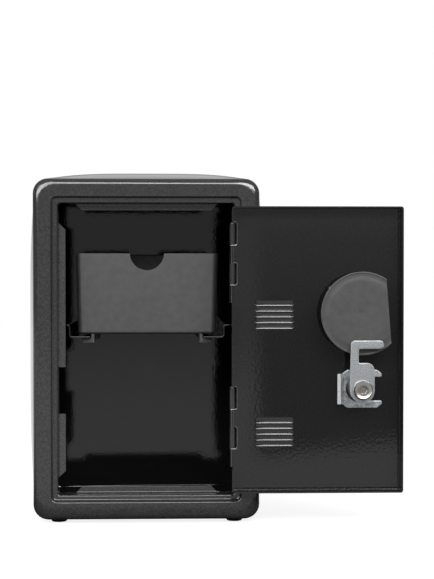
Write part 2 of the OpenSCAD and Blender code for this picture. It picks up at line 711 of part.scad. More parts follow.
// Flat cam as seen from inside the safe, arm up and hook towards the free edge.
module cam_outline() {
    shoulder = 14;
    round_r = 4;
    inner_x = cam_half_w - cam_arm_w;
    end_x = cam_half_w - cam_hook_len;
    difference() {
        union() {
            circle(cam_half_w + 0.35);
            translate([-cam_half_w, 0]) square([2 * cam_half_w, shoulder - round_r]);
            translate([-cam_half_w + round_r, 0]) square([2 * cam_half_w - round_r, shoulder]);
            translate([-cam_half_w + round_r, shoulder - round_r]) circle(round_r);
            translate([inner_x, shoulder - round_r]) square([cam_arm_w, cam_reach - shoulder + round_r - cam_arm_w / 2]);
            translate([end_x + cam_hook_w / 2, cam_reach - cam_hook_w])
                square([cam_hook_len - cam_hook_w / 2 - 2.2, cam_hook_w]);
            translate([end_x + cam_hook_w / 2, cam_reach - cam_hook_w / 2]) circle(cam_hook_w / 2);
            translate([cam_half_w - 2.2, cam_reach - 2.2]) circle(2.2);
            translate([inner_x, cam_reach - cam_hook_w]) square([cam_arm_w, cam_hook_w - 2.2]);
        }
        square(plug_square + 2 * seat, center = true);
    }
}

module cam() color("#aeb2b5") on_face(lock_z) translate([0, 0, -cam_back]) linear_extrude(cam_t) cam_outline();

module cam_washer() color("#c9cbcd") on_face(lock_z)
    translate([0, 0, -cam_back - washer_t]) rotate_extrude()
        polygon([[cam_screw_r + seat, 0.25], [4.5, 0], [5, 0.15], [5.2, 0.5], [5.2, washer_t],
                 [cam_screw_r + seat, washer_t]]);

module cam_screw() color("#e2e3e4") on_face(lock_z)
    translate([0, 0, -cam_back - washer_t]) difference() {
        union() {
            rotate_extrude() polygon([[0, -screw_head_h], [3.2, -screw_head_h], [3.9, -screw_head_h + 0.4],
                                      [4.2, -screw_head_h + 1.1], [4.2, -0.3], [4, 0], [0, 0]]);
            cylinder(r = cam_screw_r, h = cam_back + washer_t - key_reach - 1.2);
        }
        translate([0, 0, -screw_head_h - eps]) cylinder(r = 2.55, h = 1.5, $fn = 6);
        translate([0, 0, -screw_head_h - eps]) cylinder(r1 = 2.75, r2 = 2.2, h = 0.5);
    }

// Flat metal key: toothed blade in the plug, round bow with a ring hole outside.
module key() color("#c4c5c7") on_face(lock_z) {
    tip = -key_reach;
    half = key_h / 2;
    low = 2.4;
    high = 5.6;
    bow = 4 + bow_r;
    bitting = [for (i = [wafer_count - 1:-1:0])
        let (z = -wafer_first - i * wafer_step, cut = 0.5 + (i * 7 % 4) * 0.35)
        each [[-half, z - 0.9], [cut - half, z - 0.35], [cut - half, z + 0.35], [-half, z + 0.9]]];
    rotate([90, 0, 90]) difference() {
        union() {
            translate([0, 0, -key_t / 2]) linear_extrude(key_t)
                polygon(concat([[half + 1, high], [half + 1, low], [half, low], [half, tip + key_tip],
                                [half - key_tip, tip], [key_tip - half, tip], [-half, tip + key_tip]], bitting,
                               [[-half, low], [-half - 1, low], [-half - 1, high]]));
            translate([0, bow, 0]) cylinder(r = bow_r, h = bow_t, center = true);
        }
        translate([0, bow + bow_r - 4.4, 0]) cylinder(r = 1.9, h = far, center = true);
    }
}

// ---------- tray ----------

module tray_block(inset, low, high) {
    hull() for (x = [-1, 1], y = [tray_front + inset, tray_front + tray_d - inset]) {
        dir = y < tray_front + tray_d / 2 ? 1 : -1;
        for (end = [[high - 0.1, tray_w / 2], [low, tray_w / 2 - tray_draft]])
            translate([x * (end[1] - inset - tray_r + inset / 2), y + dir * (tray_r - inset / 2), end[0]])
                cylinder(r = tray_r - inset / 2, h = 0.1, $fn = 32);
    }
}

module tray() color("#565656") {
    difference() {
        tray_block(0, tray_z, tray_z + tray_h);
        tray_block(tray_t, tray_z + tray_t, tray_z + tray_h + 1);
        translate([0, tray_front - 1, tray_z + tray_h]) rotate([-90, 0, 0]) cylinder(r = notch_r, h = tray_t * 2 + 1);
    }
    for (side = [-1, 1]) {
        // Runner rib that carries the tray on the rail
        rib = stem_out + 3;
        box([min(side * rib, side * (rib + 1.5)), tray_front + tray_r, rail_z + slide],
            [max(side * rib, side * (rib + 1.5)), tray_front + tray_d - tray_r, tray_z + tray_t / 2]);
        for (y = [tray_front + 1, tray_front + tray_d - 1 - hook_len]) {
            x0 = stem_out - stem_w;
            box([min(side * x0, side * stem_out), y, rail_z - rail_t - slide - hook_h],
                [max(side * x0, side * stem_out), y + hook_len, tray_z + tray_t / 2]);
            box([min(side * x0, side * (stem_out + hook_w)), y, rail_z - rail_t - slide - hook_h],
                [max(side * x0, side * (stem_out + hook_w)), y + hook_len, rail_z - rail_t - slide]);
        }
    }
}

front_frame();
body_shell();
base_plate();
back_panel();
rubber_feet();
left_rail();
right_rail();
upper_hinge_leaf();
lower_hinge_leaf();
upper_hinge_pin();
lower_hinge_pin();
door_panel();
dial_plate();
lock_housing();
lock_clip();
dial_knob();
dial_cap();
knob_screw();
wave_washer();
locking_disc();
lock_plug();
wafers();
wafer_springs();
cam();
cam_washer();
cam_screw();
key();
tray();
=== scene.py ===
# %% [markdown]
# # A small steel safe, dressed for the camera
# The object is a palm-sized steel safe with a dial and a key lock. Its door is swung right open, so the
# view shows the inside of the door, the locks' backs, and a plastic tray that hangs in the cabinet.
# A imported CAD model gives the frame: every body, hinge axis and size comes from it. Blender adds the
# pressed, rolled and moulded shapes and the finishes, and each new piece rides on its CAD body.

# %% Load the frame
import json
import math

import bmesh
import bpy
from mathutils import Matrix, Vector
from mathutils.bvhtree import BVHTree


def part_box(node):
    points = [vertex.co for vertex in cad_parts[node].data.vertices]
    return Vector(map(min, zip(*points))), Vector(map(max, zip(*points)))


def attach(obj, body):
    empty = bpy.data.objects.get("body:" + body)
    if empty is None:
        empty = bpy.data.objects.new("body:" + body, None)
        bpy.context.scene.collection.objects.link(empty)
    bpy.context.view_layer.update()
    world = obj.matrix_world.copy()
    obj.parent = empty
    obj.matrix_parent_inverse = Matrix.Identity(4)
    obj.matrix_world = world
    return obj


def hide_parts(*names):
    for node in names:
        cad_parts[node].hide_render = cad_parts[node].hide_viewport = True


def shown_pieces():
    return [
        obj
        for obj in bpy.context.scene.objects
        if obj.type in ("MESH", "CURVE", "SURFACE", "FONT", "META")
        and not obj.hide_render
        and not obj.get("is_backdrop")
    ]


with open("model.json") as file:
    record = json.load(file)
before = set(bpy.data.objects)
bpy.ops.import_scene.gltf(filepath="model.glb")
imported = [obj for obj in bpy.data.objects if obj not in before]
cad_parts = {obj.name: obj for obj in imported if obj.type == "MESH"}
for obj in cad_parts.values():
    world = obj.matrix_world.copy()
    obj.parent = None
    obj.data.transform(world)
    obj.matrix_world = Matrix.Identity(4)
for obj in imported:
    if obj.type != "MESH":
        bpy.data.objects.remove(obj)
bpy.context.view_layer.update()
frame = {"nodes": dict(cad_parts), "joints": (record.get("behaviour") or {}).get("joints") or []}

MM = 0.001
SCENE = bpy.context.scene

# %% [markdown]
# ## Sizes
# Places come from the frame's boxes and joints, turned into millimetres, which suit sheet metal. Only the
# sizes that a box can't tell, such as a bend radius or a sheet thickness, are named values of their own.

# %% Boxes, axes and sheet sizes in millimetres
def mm_box(node):
    """Low and high corner of a CAD node's box."""
    low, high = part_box(node)
    return low / MM, high / MM


def axis_place(joint):
    """A point on a joint's axis."""
    return next(Vector(j["pos_m"]) for j in frame["joints"] if j["name"] == joint) / MM


CABINET_LOW, CABINET_HIGH = mm_box("front_frame")
SHELL_LOW, SHELL_HIGH = mm_box("body_shell")
BACK_LOW, BACK_HIGH = mm_box("back_panel")
DOOR_LOW, DOOR_HIGH = mm_box("door_panel")
HINGE = axis_place("door_hinge")
DIAL = axis_place("dial_turn")
LOCK = axis_place("lock_turn")

# The front frame is a band whose inner edge steps back down a slope to a ledge.
BAND = 13.1
STEP = 2.5
SLOPE = 0.25
LEDGE = 3.0
CORNER_R = 8.0
EDGE_R = 3.5
SHEET = 1.0
DOOR_SHEET = 0.8
KNUCKLE_R = 1.45

HALF_W = CABINET_HIGH.x
FLOOR_Z = CABINET_LOW.z
ROOF_Z = CABINET_HIGH.z
MID_Z = (FLOOR_Z + ROOF_Z) / 2
FACE_Y = CABINET_LOW.y
OPENING_X = HALF_W - BAND
OPENING_LOW = FLOOR_Z + BAND
OPENING_TOP = ROOF_Z - BAND
DOOR_OUT = HINGE.y - KNUCKLE_R + DOOR_SHEET
DOOR_IN = HINGE.y - KNUCKLE_R
print("cabinet", 2 * HALF_W, "x", ROOF_Z - FLOOR_Z, "mm, opening", 2 * OPENING_X, "mm wide")

# %% [markdown]
# ## Camera
# The photograph was taken with a long lens, a little above the middle of the safe and square on to it.
# The camera is aimed first, and a small shift then holds the upright edges as straight as they look. The
# outer edges and ten named points of the photograph were read off, to measure the fit against.

# %% The photograph's points
W, H = 434, 579
L = max(W, H)

IMAGE_EDGES = {"left": 29.9, "right": 403.6, "top": 174.3, "bottom": 520.6}
IMAGE_POINTS = {
    "locking_disc": (356.2, 313.9),
    "cam": (367.4, 371.5),
    "cam_screw": (362.8, 390.2),
    "lock_clip": (361.0, 389.9),
    "tray": (147.0, 297.6),
    "upper_louvres": (274.6, 313.9),
    "lower_louvres": (274.3, 431.4),
    "upper_knuckles": (232.1, 254.1),
    "lower_knuckles": (232.1, 418.0),
    "gate_mark": (363.0, 316.0),
}
print(len(IMAGE_POINTS), "named points in an image of", W, "x", H)

# %% Camera
LENS = 94.05
SENSOR = 36.0
CAMERA_PLACE = Vector((0.0132, -0.850, 0.1322))
LOOK_DOWN = 0.020
LOOK_RIGHT = 0.0344
SHIFT_X = -0.011
SHIFT_Y = 0.0273


def add_object(name, data):
    """Object with the given data, linked to the scene."""
    made = bpy.data.objects.new(name, data)
    SCENE.collection.objects.link(made)
    return made


camera = add_object("camera", bpy.data.cameras.new("camera"))
SCENE.camera = camera
camera.data.sensor_fit = "AUTO"
camera.data.sensor_width = SENSOR
camera.data.lens = LENS
camera.data.shift_x = SHIFT_X
camera.data.shift_y = SHIFT_Y
camera.data.clip_start = 0.05
camera.location = CAMERA_PLACE
camera.rotation_euler = (math.pi / 2 - LOOK_DOWN, 0, -LOOK_RIGHT)
bpy.context.view_layer.update()
TO_WORLD = camera.matrix_world.copy()
print("camera", [round(v, 3) for v in CAMERA_PLACE], "lens", LENS, "mm")

# %% [markdown]
# One function turns an image point into a ray, to put small marks where the photograph has them. Another
# turns a place into an image point, to measure the fit. Both follow from the lens, the sensor and the shift.

# %% From image point to ray and back
def pixel_ray(x, y):
    """Where the ray through an image point starts, and its direction."""
    across = x - W / 2 + SHIFT_X * L
    up = H / 2 - y + SHIFT_Y * L
    direction = TO_WORLD.to_3x3() @ Vector((across, up, -L * LENS / SENSOR))
    return TO_WORLD.translation, direction.normalized()


def pixel_of(place):
    """Image point at which a place in metres shows."""
    local = TO_WORLD.inverted() @ place
    scale = L * LENS / SENSOR / -local.z
    return local.x * scale + W / 2 - SHIFT_X * L, H / 2 + SHIFT_Y * L - local.y * scale


print("the safe's middle shows at", [round(v, 1) for v in pixel_of(Vector((0, 0, MID_Z * MM)))])

# %% [markdown]
# ## Adding nodes
# Materials and the world are trees of nodes. Laying each out by hand takes many lines, so one function adds
# any node with its settings and links, and one turns a hex colour into linear light.

# %% Node and colour helpers
def linear(code):
    """Linear colour of an sRGB hex code."""
    parts = [int(code[i:i + 2], 16) / 255 for i in (1, 3, 5)]
    return [c / 12.92 if c <= 0.04045 else ((c + 0.055) / 1.055) ** 2.4 for c in parts] + [1.0]


def add_node(tree, kind, inputs=None, **settings):
    """Adds a node, sets its properties, and fills its inputs with values or other nodes' outputs."""
    node = tree.nodes.new(kind)
    for name, value in settings.items():
        setattr(node, name, value)
    for key, value in (inputs or {}).items():
        if isinstance(value, bpy.types.NodeSocket):
            tree.links.new(value, node.inputs[key])
        else:
            node.inputs[key].default_value = value
    return node


def empty_tree(owner):
    """Node tree of a material or world with nothing in it."""
    owner.use_nodes = True
    owner.node_tree.nodes.clear()
    return owner.node_tree


print("middle grey in linear light:", round(linear("#808080")[0], 3))

# %% [markdown]
# ## Studio
# The photograph has a pure white ground and one large soft light in front and above, which draws the
# bright lines on the bends. The room in front is duller than the white sweep behind, so black gloss looks
# dark grey. A photograph of a real room could be the world, but curves of brightness over direction are
# easier to match to the gloss. The world gives each kind of ray its own brightness, so the white that the
# camera sees costs the object no light.

# %% Brightness curves
ROOM_FRONT = 0.5
# What mirrors see: brightness from the front (-1) to the back (1), and from below (-1) to above (1).
FRONT_TO_BACK = [(-1, ROOM_FRONT), (-0.9, ROOM_FRONT), (-0.72, 0.2), (0.4, 0.2), (0.8, 1.0), (1, 1.0)]
SWEEP_BEHIND = [(-1, 1.0), (-0.1, 1.0), (0.02, 0.7), (0.1, 0.3), (0.3, 0.8), (1, 0.8)]
GLOW_ABOVE = [(-1, 0), (0.45, 0), (0.75, 0.2), (1, 0.2)]


def ramp(tree, value, stops):
    """Smooth curve through (value, level) stops, as a node output."""
    low, high = stops[0][0], stops[-1][0]
    node = add_node(tree, "ShaderNodeFloatCurve")
    curve = node.mapping.curves[0]
    node.mapping.use_clip = False
    spots = [((at - low) / (high - low), level) for at, level in stops]
    while len(curve.points) < len(spots):
        curve.points.new(0.5, 0.5)
    for point, (at, level) in zip(curve.points, spots):
        point.location = (at, level)
        point.handle_type = "AUTO_CLAMPED"
    node.mapping.update()
    scaled = add_node(tree, "ShaderNodeMapRange", {"Value": value, "From Min": low, "From Max": high})
    tree.links.new(scaled.outputs["Result"], node.inputs["Value"])
    return node.outputs["Value"]


print("the room's front has brightness", ROOM_FRONT)

# %% World
FILL = 0.3
world = bpy.data.worlds.new("studio")
SCENE.world = world
SCENE.view_settings.view_transform = "Standard"
sky = empty_tree(world)
rays = add_node(sky, "ShaderNodeLightPath")
facing = add_node(sky, "ShaderNodeTexCoord")
facing_parts = add_node(sky, "ShaderNodeSeparateXYZ", {"Vector": facing.outputs["Generated"]})
around = ramp(sky, facing_parts.outputs["Y"], FRONT_TO_BACK)
behind_it = ramp(sky, facing_parts.outputs["Z"], SWEEP_BEHIND)
above = ramp(sky, facing_parts.outputs["Z"], GLOW_ABOVE)
back_level = add_node(sky, "ShaderNodeMath", {0: around, 1: behind_it}, operation="MULTIPLY")
front_part = add_node(sky, "ShaderNodeMath", {0: facing_parts.outputs["Y"], 1: 0.0}, operation="LESS_THAN")
level = add_node(sky, "ShaderNodeMix", {
    "Factor": front_part.outputs[0], "A": back_level.outputs[0], "B": around}, data_type="FLOAT")
mirrored = add_node(sky, "ShaderNodeMath", {0: level.outputs["Result"], 1: above}, operation="ADD")
sharp_rays = add_node(sky, "ShaderNodeMath", {
    0: rays.outputs["Is Glossy Ray"], 1: rays.outputs["Is Transmission Ray"]}, operation="MAXIMUM")
lit = add_node(sky, "ShaderNodeMix", {
    "Factor": sharp_rays.outputs[0], "A": FILL, "B": mirrored.outputs[0]}, data_type="FLOAT")
seen = add_node(sky, "ShaderNodeMix", {
    "Factor": rays.outputs["Is Camera Ray"], "A": lit.outputs["Result"], "B": 1.0}, data_type="FLOAT")
background = add_node(sky, "ShaderNodeBackground", {
    "Color": (1, 1, 1, 1), "Strength": seen.outputs["Result"]})
add_node(sky, "ShaderNodeOutputWorld", {"Surface": background.outputs["Background"]})
print("world: camera 1, fill", FILL)

# %% [markdown]
# Softboxes are plain rectangles of light. A wide one overhead gives the even shade, and one on each side
# draws its line on the bends. A real softbox is brightest at its middle, so smaller and brighter ones that
# only mirrors see stand in front of the right one, and a tilted strip does the same on the left.

# %% Softboxes
def soft_light(name, azimuth, elevation, distance, width, height, radiance, mirrored_only=False, roll=0.0):
    """Rectangular light aimed at the safe's middle; radiance is how bright its face is, white being 1."""
    turn, rise = math.radians(azimuth), math.radians(elevation)
    direction = Vector((math.sin(turn) * math.cos(rise), -math.cos(turn) * math.cos(rise), math.sin(rise)))
    data = bpy.data.lights.new(name, "AREA")
    data.shape = "RECTANGLE"
    data.size = width
    data.size_y = height
    data.energy = radiance * math.pi * width * height
    lamp = add_object(name, data)
    lamp.location = Vector((0, 0, MID_Z * MM)) + direction * distance
    aim = direction.to_track_quat("Z", "Y").to_matrix() @ Matrix.Rotation(math.radians(roll), 3, "Z")
    lamp.rotation_euler = aim.to_euler()
    lamp.visible_camera = False
    lamp.visible_diffuse = not mirrored_only
    print(name, "at", azimuth, "degrees, radiance", radiance)


soft_light("overhead_wash", azimuth=0, elevation=29, distance=1.75, width=2.6, height=0.7, radiance=2.4)
soft_light("right_box", azimuth=20, elevation=30, distance=1.7, width=1.55, height=0.5, radiance=4.6)
soft_light("right_box_core", azimuth=23, elevation=30, distance=1.68, width=1.35, height=0.42,
           radiance=4.5, mirrored_only=True)
soft_light("right_box_heart", azimuth=26, elevation=30, distance=1.66, width=1.1, height=0.4,
           radiance=5.5, mirrored_only=True)
soft_light("left_box", azimuth=-38, elevation=26, distance=1.7, width=0.85, height=0.62, radiance=2.6)
soft_light("left_strip", azimuth=-25, elevation=26, distance=1.68, width=1.4, height=0.56,
           radiance=7.5, mirrored_only=True, roll=44)

# %% [markdown]
# Black gloss shows whatever stands before it, and in the photograph the open door shows something dim low
# down in the room. A card that only mirrors see stands there, duller below than above.

# %% Dark card in front of the door
def flat_sheet(name, corners):
    """Object with one four-cornered face, in metres."""
    mesh = bpy.data.meshes.new(name)
    mesh.from_pydata(corners, [], [(0, 1, 2, 3)])
    return add_object(name, mesh)


def stand_card(name, start, end, height, low, high):
    """Card that only mirrors see, standing on the floor from start to end, low to high in brightness."""
    card = flat_sheet(name, [(*start, 0), (*end, 0), (*end, height), (*start, height)])
    card.visible_camera = False
    card.visible_diffuse = False
    card.visible_shadow = False
    card.visible_transmission = False
    board = bpy.data.materials.new(name + "_board")
    tree = empty_tree(board)
    place = add_node(tree, "ShaderNodeTexCoord")
    parts = add_node(tree, "ShaderNodeSeparateXYZ", {"Vector": place.outputs["Object"]})
    level = add_node(tree, "ShaderNodeMapRange", {
        "Value": parts.outputs["Z"], "From Min": 0.5 * height, "From Max": height,
        "To Min": low, "To Max": high})
    shine = add_node(tree, "ShaderNodeEmission", {"Strength": level.outputs["Result"]})
    add_node(tree, "ShaderNodeOutputMaterial", {"Surface": shine.outputs[0]})
    card.data.materials.append(board)
    card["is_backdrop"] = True
    print(name, "from", start, "to", end)


stand_card("dark_card", start=(0.076, -0.350), end=(0.60, -0.80), height=0.17, low=0.2, high=0.42)

# %% [markdown]
# The ground is a white paper sweep. The camera sees it glow to white with the safe's soft shadow left on it,
# other rays see a middle grey, and mirrors see a curve of their own: white behind the safe, a painted
# shadow under it and just in front, and the dimmer room towards the camera.

# %% Floor
FLOOR_REACH = 3.0
PAPER_GLOW = 0.85
# What mirrors see of the floor: brightness from the front (-3 m) to the back (3 m), with a painted shadow
# near the safe.
FLOOR_MIRRORED = [
    (-3, ROOM_FRONT), (-2.4, ROOM_FRONT), (-0.7, 0.76), (-0.3, 0.76), (-0.125, 0.7), (-0.075, 0.02),
    (-0.02, 0.02), (0.08, 1.0), (3, 1.0)]
FLOOR_CORNERS = ((-1, -1), (1, -1), (1, 1), (-1, 1))
floor = flat_sheet("floor", [(x * FLOOR_REACH, y * FLOOR_REACH, 0) for x, y in FLOOR_CORNERS])
paper = bpy.data.materials.new("white_paper_sweep")
tree = empty_tree(paper)
floor_rays = add_node(tree, "ShaderNodeLightPath")
matt = add_node(tree, "ShaderNodeBsdfDiffuse", {"Color": linear("#808080")})
shade = add_node(tree, "ShaderNodeBsdfDiffuse", {"Color": linear("#bcbcbc")})
glow = add_node(tree, "ShaderNodeEmission", {"Strength": PAPER_GLOW})
seen_floor = add_node(tree, "ShaderNodeAddShader", {0: shade.outputs[0], 1: glow.outputs[0]})
floor_place = add_node(tree, "ShaderNodeTexCoord")
floor_parts = add_node(tree, "ShaderNodeSeparateXYZ", {"Vector": floor_place.outputs["Object"]})
floor_level = ramp(tree, floor_parts.outputs["Y"], FLOOR_MIRRORED)
mirrored_floor = add_node(tree, "ShaderNodeEmission", {"Strength": floor_level})
glossy_mix = add_node(tree, "ShaderNodeMixShader", {
    0: floor_rays.outputs["Is Glossy Ray"], 1: matt.outputs[0], 2: mirrored_floor.outputs[0]})
floor_mix = add_node(tree, "ShaderNodeMixShader", {
    0: floor_rays.outputs["Is Camera Ray"], 1: glossy_mix.outputs[0], 2: seen_floor.outputs[0]})
add_node(tree, "ShaderNodeOutputMaterial", {"Surface": floor_mix.outputs[0]})
floor.data.materials.append(paper)
floor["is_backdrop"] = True
print("floor", 2 * FLOOR_REACH, "m wide")

# %% [markdown]
# ## Finishes
# Every finish here is one Principled shader whose colour drifts a little over small patches and whose skin
# has a fine relief. Both are noise, sized in millimetres. A painted image could hold them, but noise has no
# seams and needs no unwrapping. Coats and plastics have an IOR of about 1.5, which is the shader's own
# value, and metals keep that default too.

# %% Shader, relief and drift of colour
def shader_material(name, base, roughness, **sockets):
    """Material with one Principled shader; sockets are set on the shader by name."""
    material = bpy.data.materials.new(name)
    tree = empty_tree(material)
    values = {"Base Color": linear(base), "Roughness": roughness}
    values.update({key.replace("_", " "): value for key, value in sockets.items()})
    shader = add_node(tree, "ShaderNodeBsdfPrincipled", values)
    add_node(tree, "ShaderNodeOutputMaterial", {"Surface": shader.outputs[0]})
    return material, tree, shader


def add_peel(tree, shader, place, spacing, depth, detail):
    """Bump from noise whose waves are spacing millimetres apart and depth millimetres deep."""
    waves = add_node(tree, "ShaderNodeTexNoise", {
        "Vector": place.outputs["Object"], "Scale": 1 / (spacing * MM), "Detail": detail})
    bump = add_node(tree, "ShaderNodeBump", {
        "Height": waves.outputs["Fac"], "Distance": depth * MM, "Strength": 1.0})
    tree.links.new(bump.outputs["Normal"], shader.inputs["Normal"])
    if shader.inputs["Coat Weight"].default_value > 0:
        tree.links.new(bump.outputs["Normal"], shader.inputs["Coat Normal"])


def add_mottle(tree, shader, place, patch, low, high):
    """Base colour that drifts between two hex colours over patches of the given size in millimetres."""
    cloud = add_node(tree, "ShaderNodeTexNoise", {
        "Vector": place.outputs["Object"], "Scale": 1 / (patch * MM), "Detail": 4.0, "Roughness": 0.6})
    spread = add_node(tree, "ShaderNodeMapRange", {
        "Value": cloud.outputs["Fac"], "From Min": 0.36, "From Max": 0.64})
    blend = add_node(tree, "ShaderNodeMix", {
        "Factor": spread.outputs["Result"], "A": linear(low), "B": linear(high)}, data_type="RGBA")
    tree.links.new(blend.outputs["Result"], shader.inputs["Base Color"])


def finish(name, low, high, roughness, grain, depth, patch, detail=3.0, **sockets):
    """Material between two hex colours in patches, with a relief of some grain and depth in millimetres."""
    material, tree, shader = shader_material(name, low, roughness, **sockets)
    place = add_node(tree, "ShaderNodeTexCoord")
    add_peel(tree, shader, place, grain, depth, detail)
    add_mottle(tree, shader, place, patch, low, high)
    return material

# %% [markdown]
# Powder coat is a polyester film baked on steel: black pigment under a clear glossy skin whose surface
# keeps a faint orange peel. The shader's base is the duller pigment, and its coat layer is the skin. Two
# materials mixed could show the same, but the coat layer bends light as a real film does.

# %% Powder coat
def powder_coat(name, low, high, roughness, depth, grain):
    """Pigment in specks under a clear skin with orange peel."""
    return finish("gloss_black_powder_coat" + name, low, high, roughness, grain, depth, patch=0.9, detail=2.0,
                  Coat_Weight=1.0, Coat_Roughness=0.05, Specular_IOR_Level=0.0)


# Orange peel has waves of one to two millimetres, which break up each reflection. The specks in the pigment
# are finer than that in the real coat, and are drawn at 0.9 mm so that they show.
# The outside faces the lights, and its pigment scatters them to a dark grey.
COAT_OUTSIDE = powder_coat("", "#2f2e2e", "#414040", 0.5, depth=0.03, grain=1.5)
# Inside and on the door the coat is drawn as darker copies, painted shade for where it lies in shade, so only
# the skin's reflections stand out from near black.
COAT_INSIDE_PAINTED_SHADE = powder_coat("_inside", "#131212", "#191818", 0.5, depth=0.02, grain=1.2)
COAT_DOOR_PAINTED_SHADE = powder_coat("_door", "#171616", "#222020", 0.5, depth=0.034, grain=1.6)
# Where the sheet is drawn thin or bent the film is smoother. The copies below also have a paler pigment than
# the sheet: painted light on the hoods and the stops' tongues, a painted highlight on the cut edges.
COAT_HOOD_PAINTED_LIGHT = powder_coat("_louvres", "#232222", "#2b2a2a", 0.5, depth=0.003, grain=1.3)
COAT_TONGUE_PAINTED_LIGHT = powder_coat("_tongues", "#403f3f", "#565555", 0.5, depth=0.02, grain=1.3)
COAT_EDGE_PAINTED_HIGHLIGHT = powder_coat("_cut_edges", "#3c3a3a", "#626060", 0.4, depth=0.01, grain=1.3)
# A near-white painted highlight in specks, for the light caught on the slots' low edges.
COAT_LOW_EDGE_PAINTED_HIGHLIGHT = powder_coat("_low_edge_painted_highlight", "#6c6a69", "#e2e0de", 0.35, depth=0.01, grain=1.3)
print("powder coats made")

# %% [markdown]
# ## Plastics, rubber and metals
# The disc and the dial are ABS from a spark-eroded mould, which leaves a fine grain. The tray is
# polypropylene, softer and a little cloudy. The cam is blanked from zinc-plated steel, the clip from
# galvanised strip with its cloudy crystals, the screw is bright nickel, the lock a zinc die casting. Each
# is the same kind of material as the powder coat without its clear skin, so the same function makes it.

# %% Moulded plastics and rubber
# A mould's grain is about a tenth of a millimetre, too fine to show, and is drawn at about half a
# millimetre. The colour drifts over patches of a few millimetres, as pigment does in a moulding.
MOULD_PATCH = 4.0
# Spark-grained ABS: a dull mid grey whose highlights spread wide; its moulded bead has a paler copy, a
# painted highlight.
ABS_GREY = finish("spark_grained_grey_abs", "#2f2e2e", "#393838",
                  roughness=0.5, grain=0.5, depth=0.01, patch=MOULD_PATCH)
ABS_BEAD_PAINTED_HIGHLIGHT = finish("spark_grained_grey_abs_bead_painted_highlight", "#545353", "#605f5f",
                  roughness=0.42, grain=0.5, depth=0.008, patch=MOULD_PATCH)
# Polished ABS: a smoother mould gives the dial a sharp highlight.
ABS_BLACK = finish("polished_black_abs", "#17171a", "#1b1b1d",
                   roughness=0.22, grain=0.6, depth=0.002, patch=MOULD_PATCH)
# Polypropylene: soft, waxy highlights on dark grey.
TRAY_GREY = finish("moulded_grey_polypropylene", "#2d2c2c", "#363535",
                   roughness=0.48, grain=0.6, depth=0.006, patch=MOULD_PATCH)
# Rubber: matt, with hardly a highlight.
RUBBER = finish("moulded_black_rubber", "#121212", "#191919",
                roughness=0.75, grain=0.3, depth=0.02, patch=MOULD_PATCH)
print("plastics and rubber made")

# %% [markdown]
# The metals that show are plated, so their colour drifts with the plating's crystals. All are fully
# metallic but the rims, whose pale, half-metallic finish is a painted highlight.

# %% Metals
# Zinc plating: small bright and dark crystals, on faces that shine without mirroring.
ZINC = finish("zinc_plated_steel", "#717577", "#a9acae",
              roughness=0.4, grain=0.45, depth=0.05, patch=0.55, Metallic=1.0)
# Its rims are painted nearly white and half metallic, a painted highlight; on the clip's tab it is painted
# light.
PALE_ZINC_PAINTED_LIGHT = finish("pale_zinc_painted_light", "#c6cacc", "#e6e8e9",
                  roughness=0.5, grain=0.45, depth=0.02, patch=0.8, Metallic=0.4)
# Hot-dip galvanised strip: larger cloudy crystals. Real ones are several millimetres wide; on so small a
# piece they are drawn at 1.6 mm.
GALVANISED = finish("galvanised_spring_strip", "#83878a", "#c6c9cb",
                    roughness=0.36, grain=0.6, depth=0.01, patch=1.6, Metallic=1.0)
# Nickel: smooth and a little warm, with near-mirror reflections.
NICKEL = finish("bright_nickel_plate", "#8f8c88", "#a3a09c",
                roughness=0.29, grain=0.5, depth=0.003, patch=1.0, Metallic=1.0)
# Oiled pins, brass wafers and a dark grey casting show only in gaps, at a dull shine.
PIN_STEEL = finish("oiled_black_steel", "#5b5c5e", "#6e6f71",
                   roughness=0.35, grain=0.4, depth=0.006, patch=2.0, Metallic=1.0)
BRASS = finish("stamped_brass", "#b8994f", "#cbb069",
               roughness=0.3, grain=0.4, depth=0.006, patch=2.0, Metallic=1.0)
DIE_CAST = finish("dark_grey_zinc_die_casting", "#2b2b2d", "#3a3b3d",
                  roughness=0.4, grain=0.4, depth=0.015, patch=1.5, Metallic=1.0)
# Printed ink is an even matt white.
WHITE_INK = shader_material("screen_printed_white_ink", "#e8e8e4", 0.5)[0]
print("materials:", len(bpy.data.materials))

# %% [markdown]
# ## Mesh helpers
# Almost every piece is an outline with rounded corners that is either lofted through rings, as pressed
# sheet and mouldings are, or given a thickness, as blanked sheet is. Each outline needs only its corners
# and their radii, so one function rounds corners, one joins rings, and one makes a flat part.

# %% Outlines and rings
def rounded(corners, steps=7):
    """Outline through (u, v, radius) corners, with an arc in each corner that has a radius."""
    outline = []
    for i, (u, v, radius) in enumerate(corners):
        here = Vector((u, v))
        if radius == 0:
            outline.append(here)
            continue
        back = (Vector(corners[i - 1][:2]) - here).normalized()
        ahead = (Vector(corners[(i + 1) % len(corners)][:2]) - here).normalized()
        half = back.angle(ahead) / 2
        centre = here + (back + ahead).normalized() * radius / math.sin(half)
        start = here + back * radius / math.tan(half) - centre
        end = here + ahead * radius / math.tan(half) - centre
        first = math.atan2(start.y, start.x)
        turn = (math.atan2(end.y, end.x) - first + math.pi) % math.tau - math.pi
        for k in range(steps + 1):
            angle = first + turn * k / steps
            outline.append(centre + radius * Vector((math.cos(angle), math.sin(angle))))
    return outline


def arc(centre, radius, start, end, steps=16):
    """Points along an arc, with its angles in degrees."""
    angles = [math.radians(start + (end - start) * k / steps) for k in range(steps + 1)]
    return [Vector((centre[0] + radius * math.cos(a), centre[1] + radius * math.sin(a))) for a in angles]


def upright_ring(x0, x1, z0, z1, radius, y):
    """Rounded rectangle in X and Z at one depth."""
    corners = [(x0, z0, radius), (x1, z0, radius), (x1, z1, radius), (x0, z1, radius)]
    return [Vector((x, y, z)) for x, z in rounded(corners)]


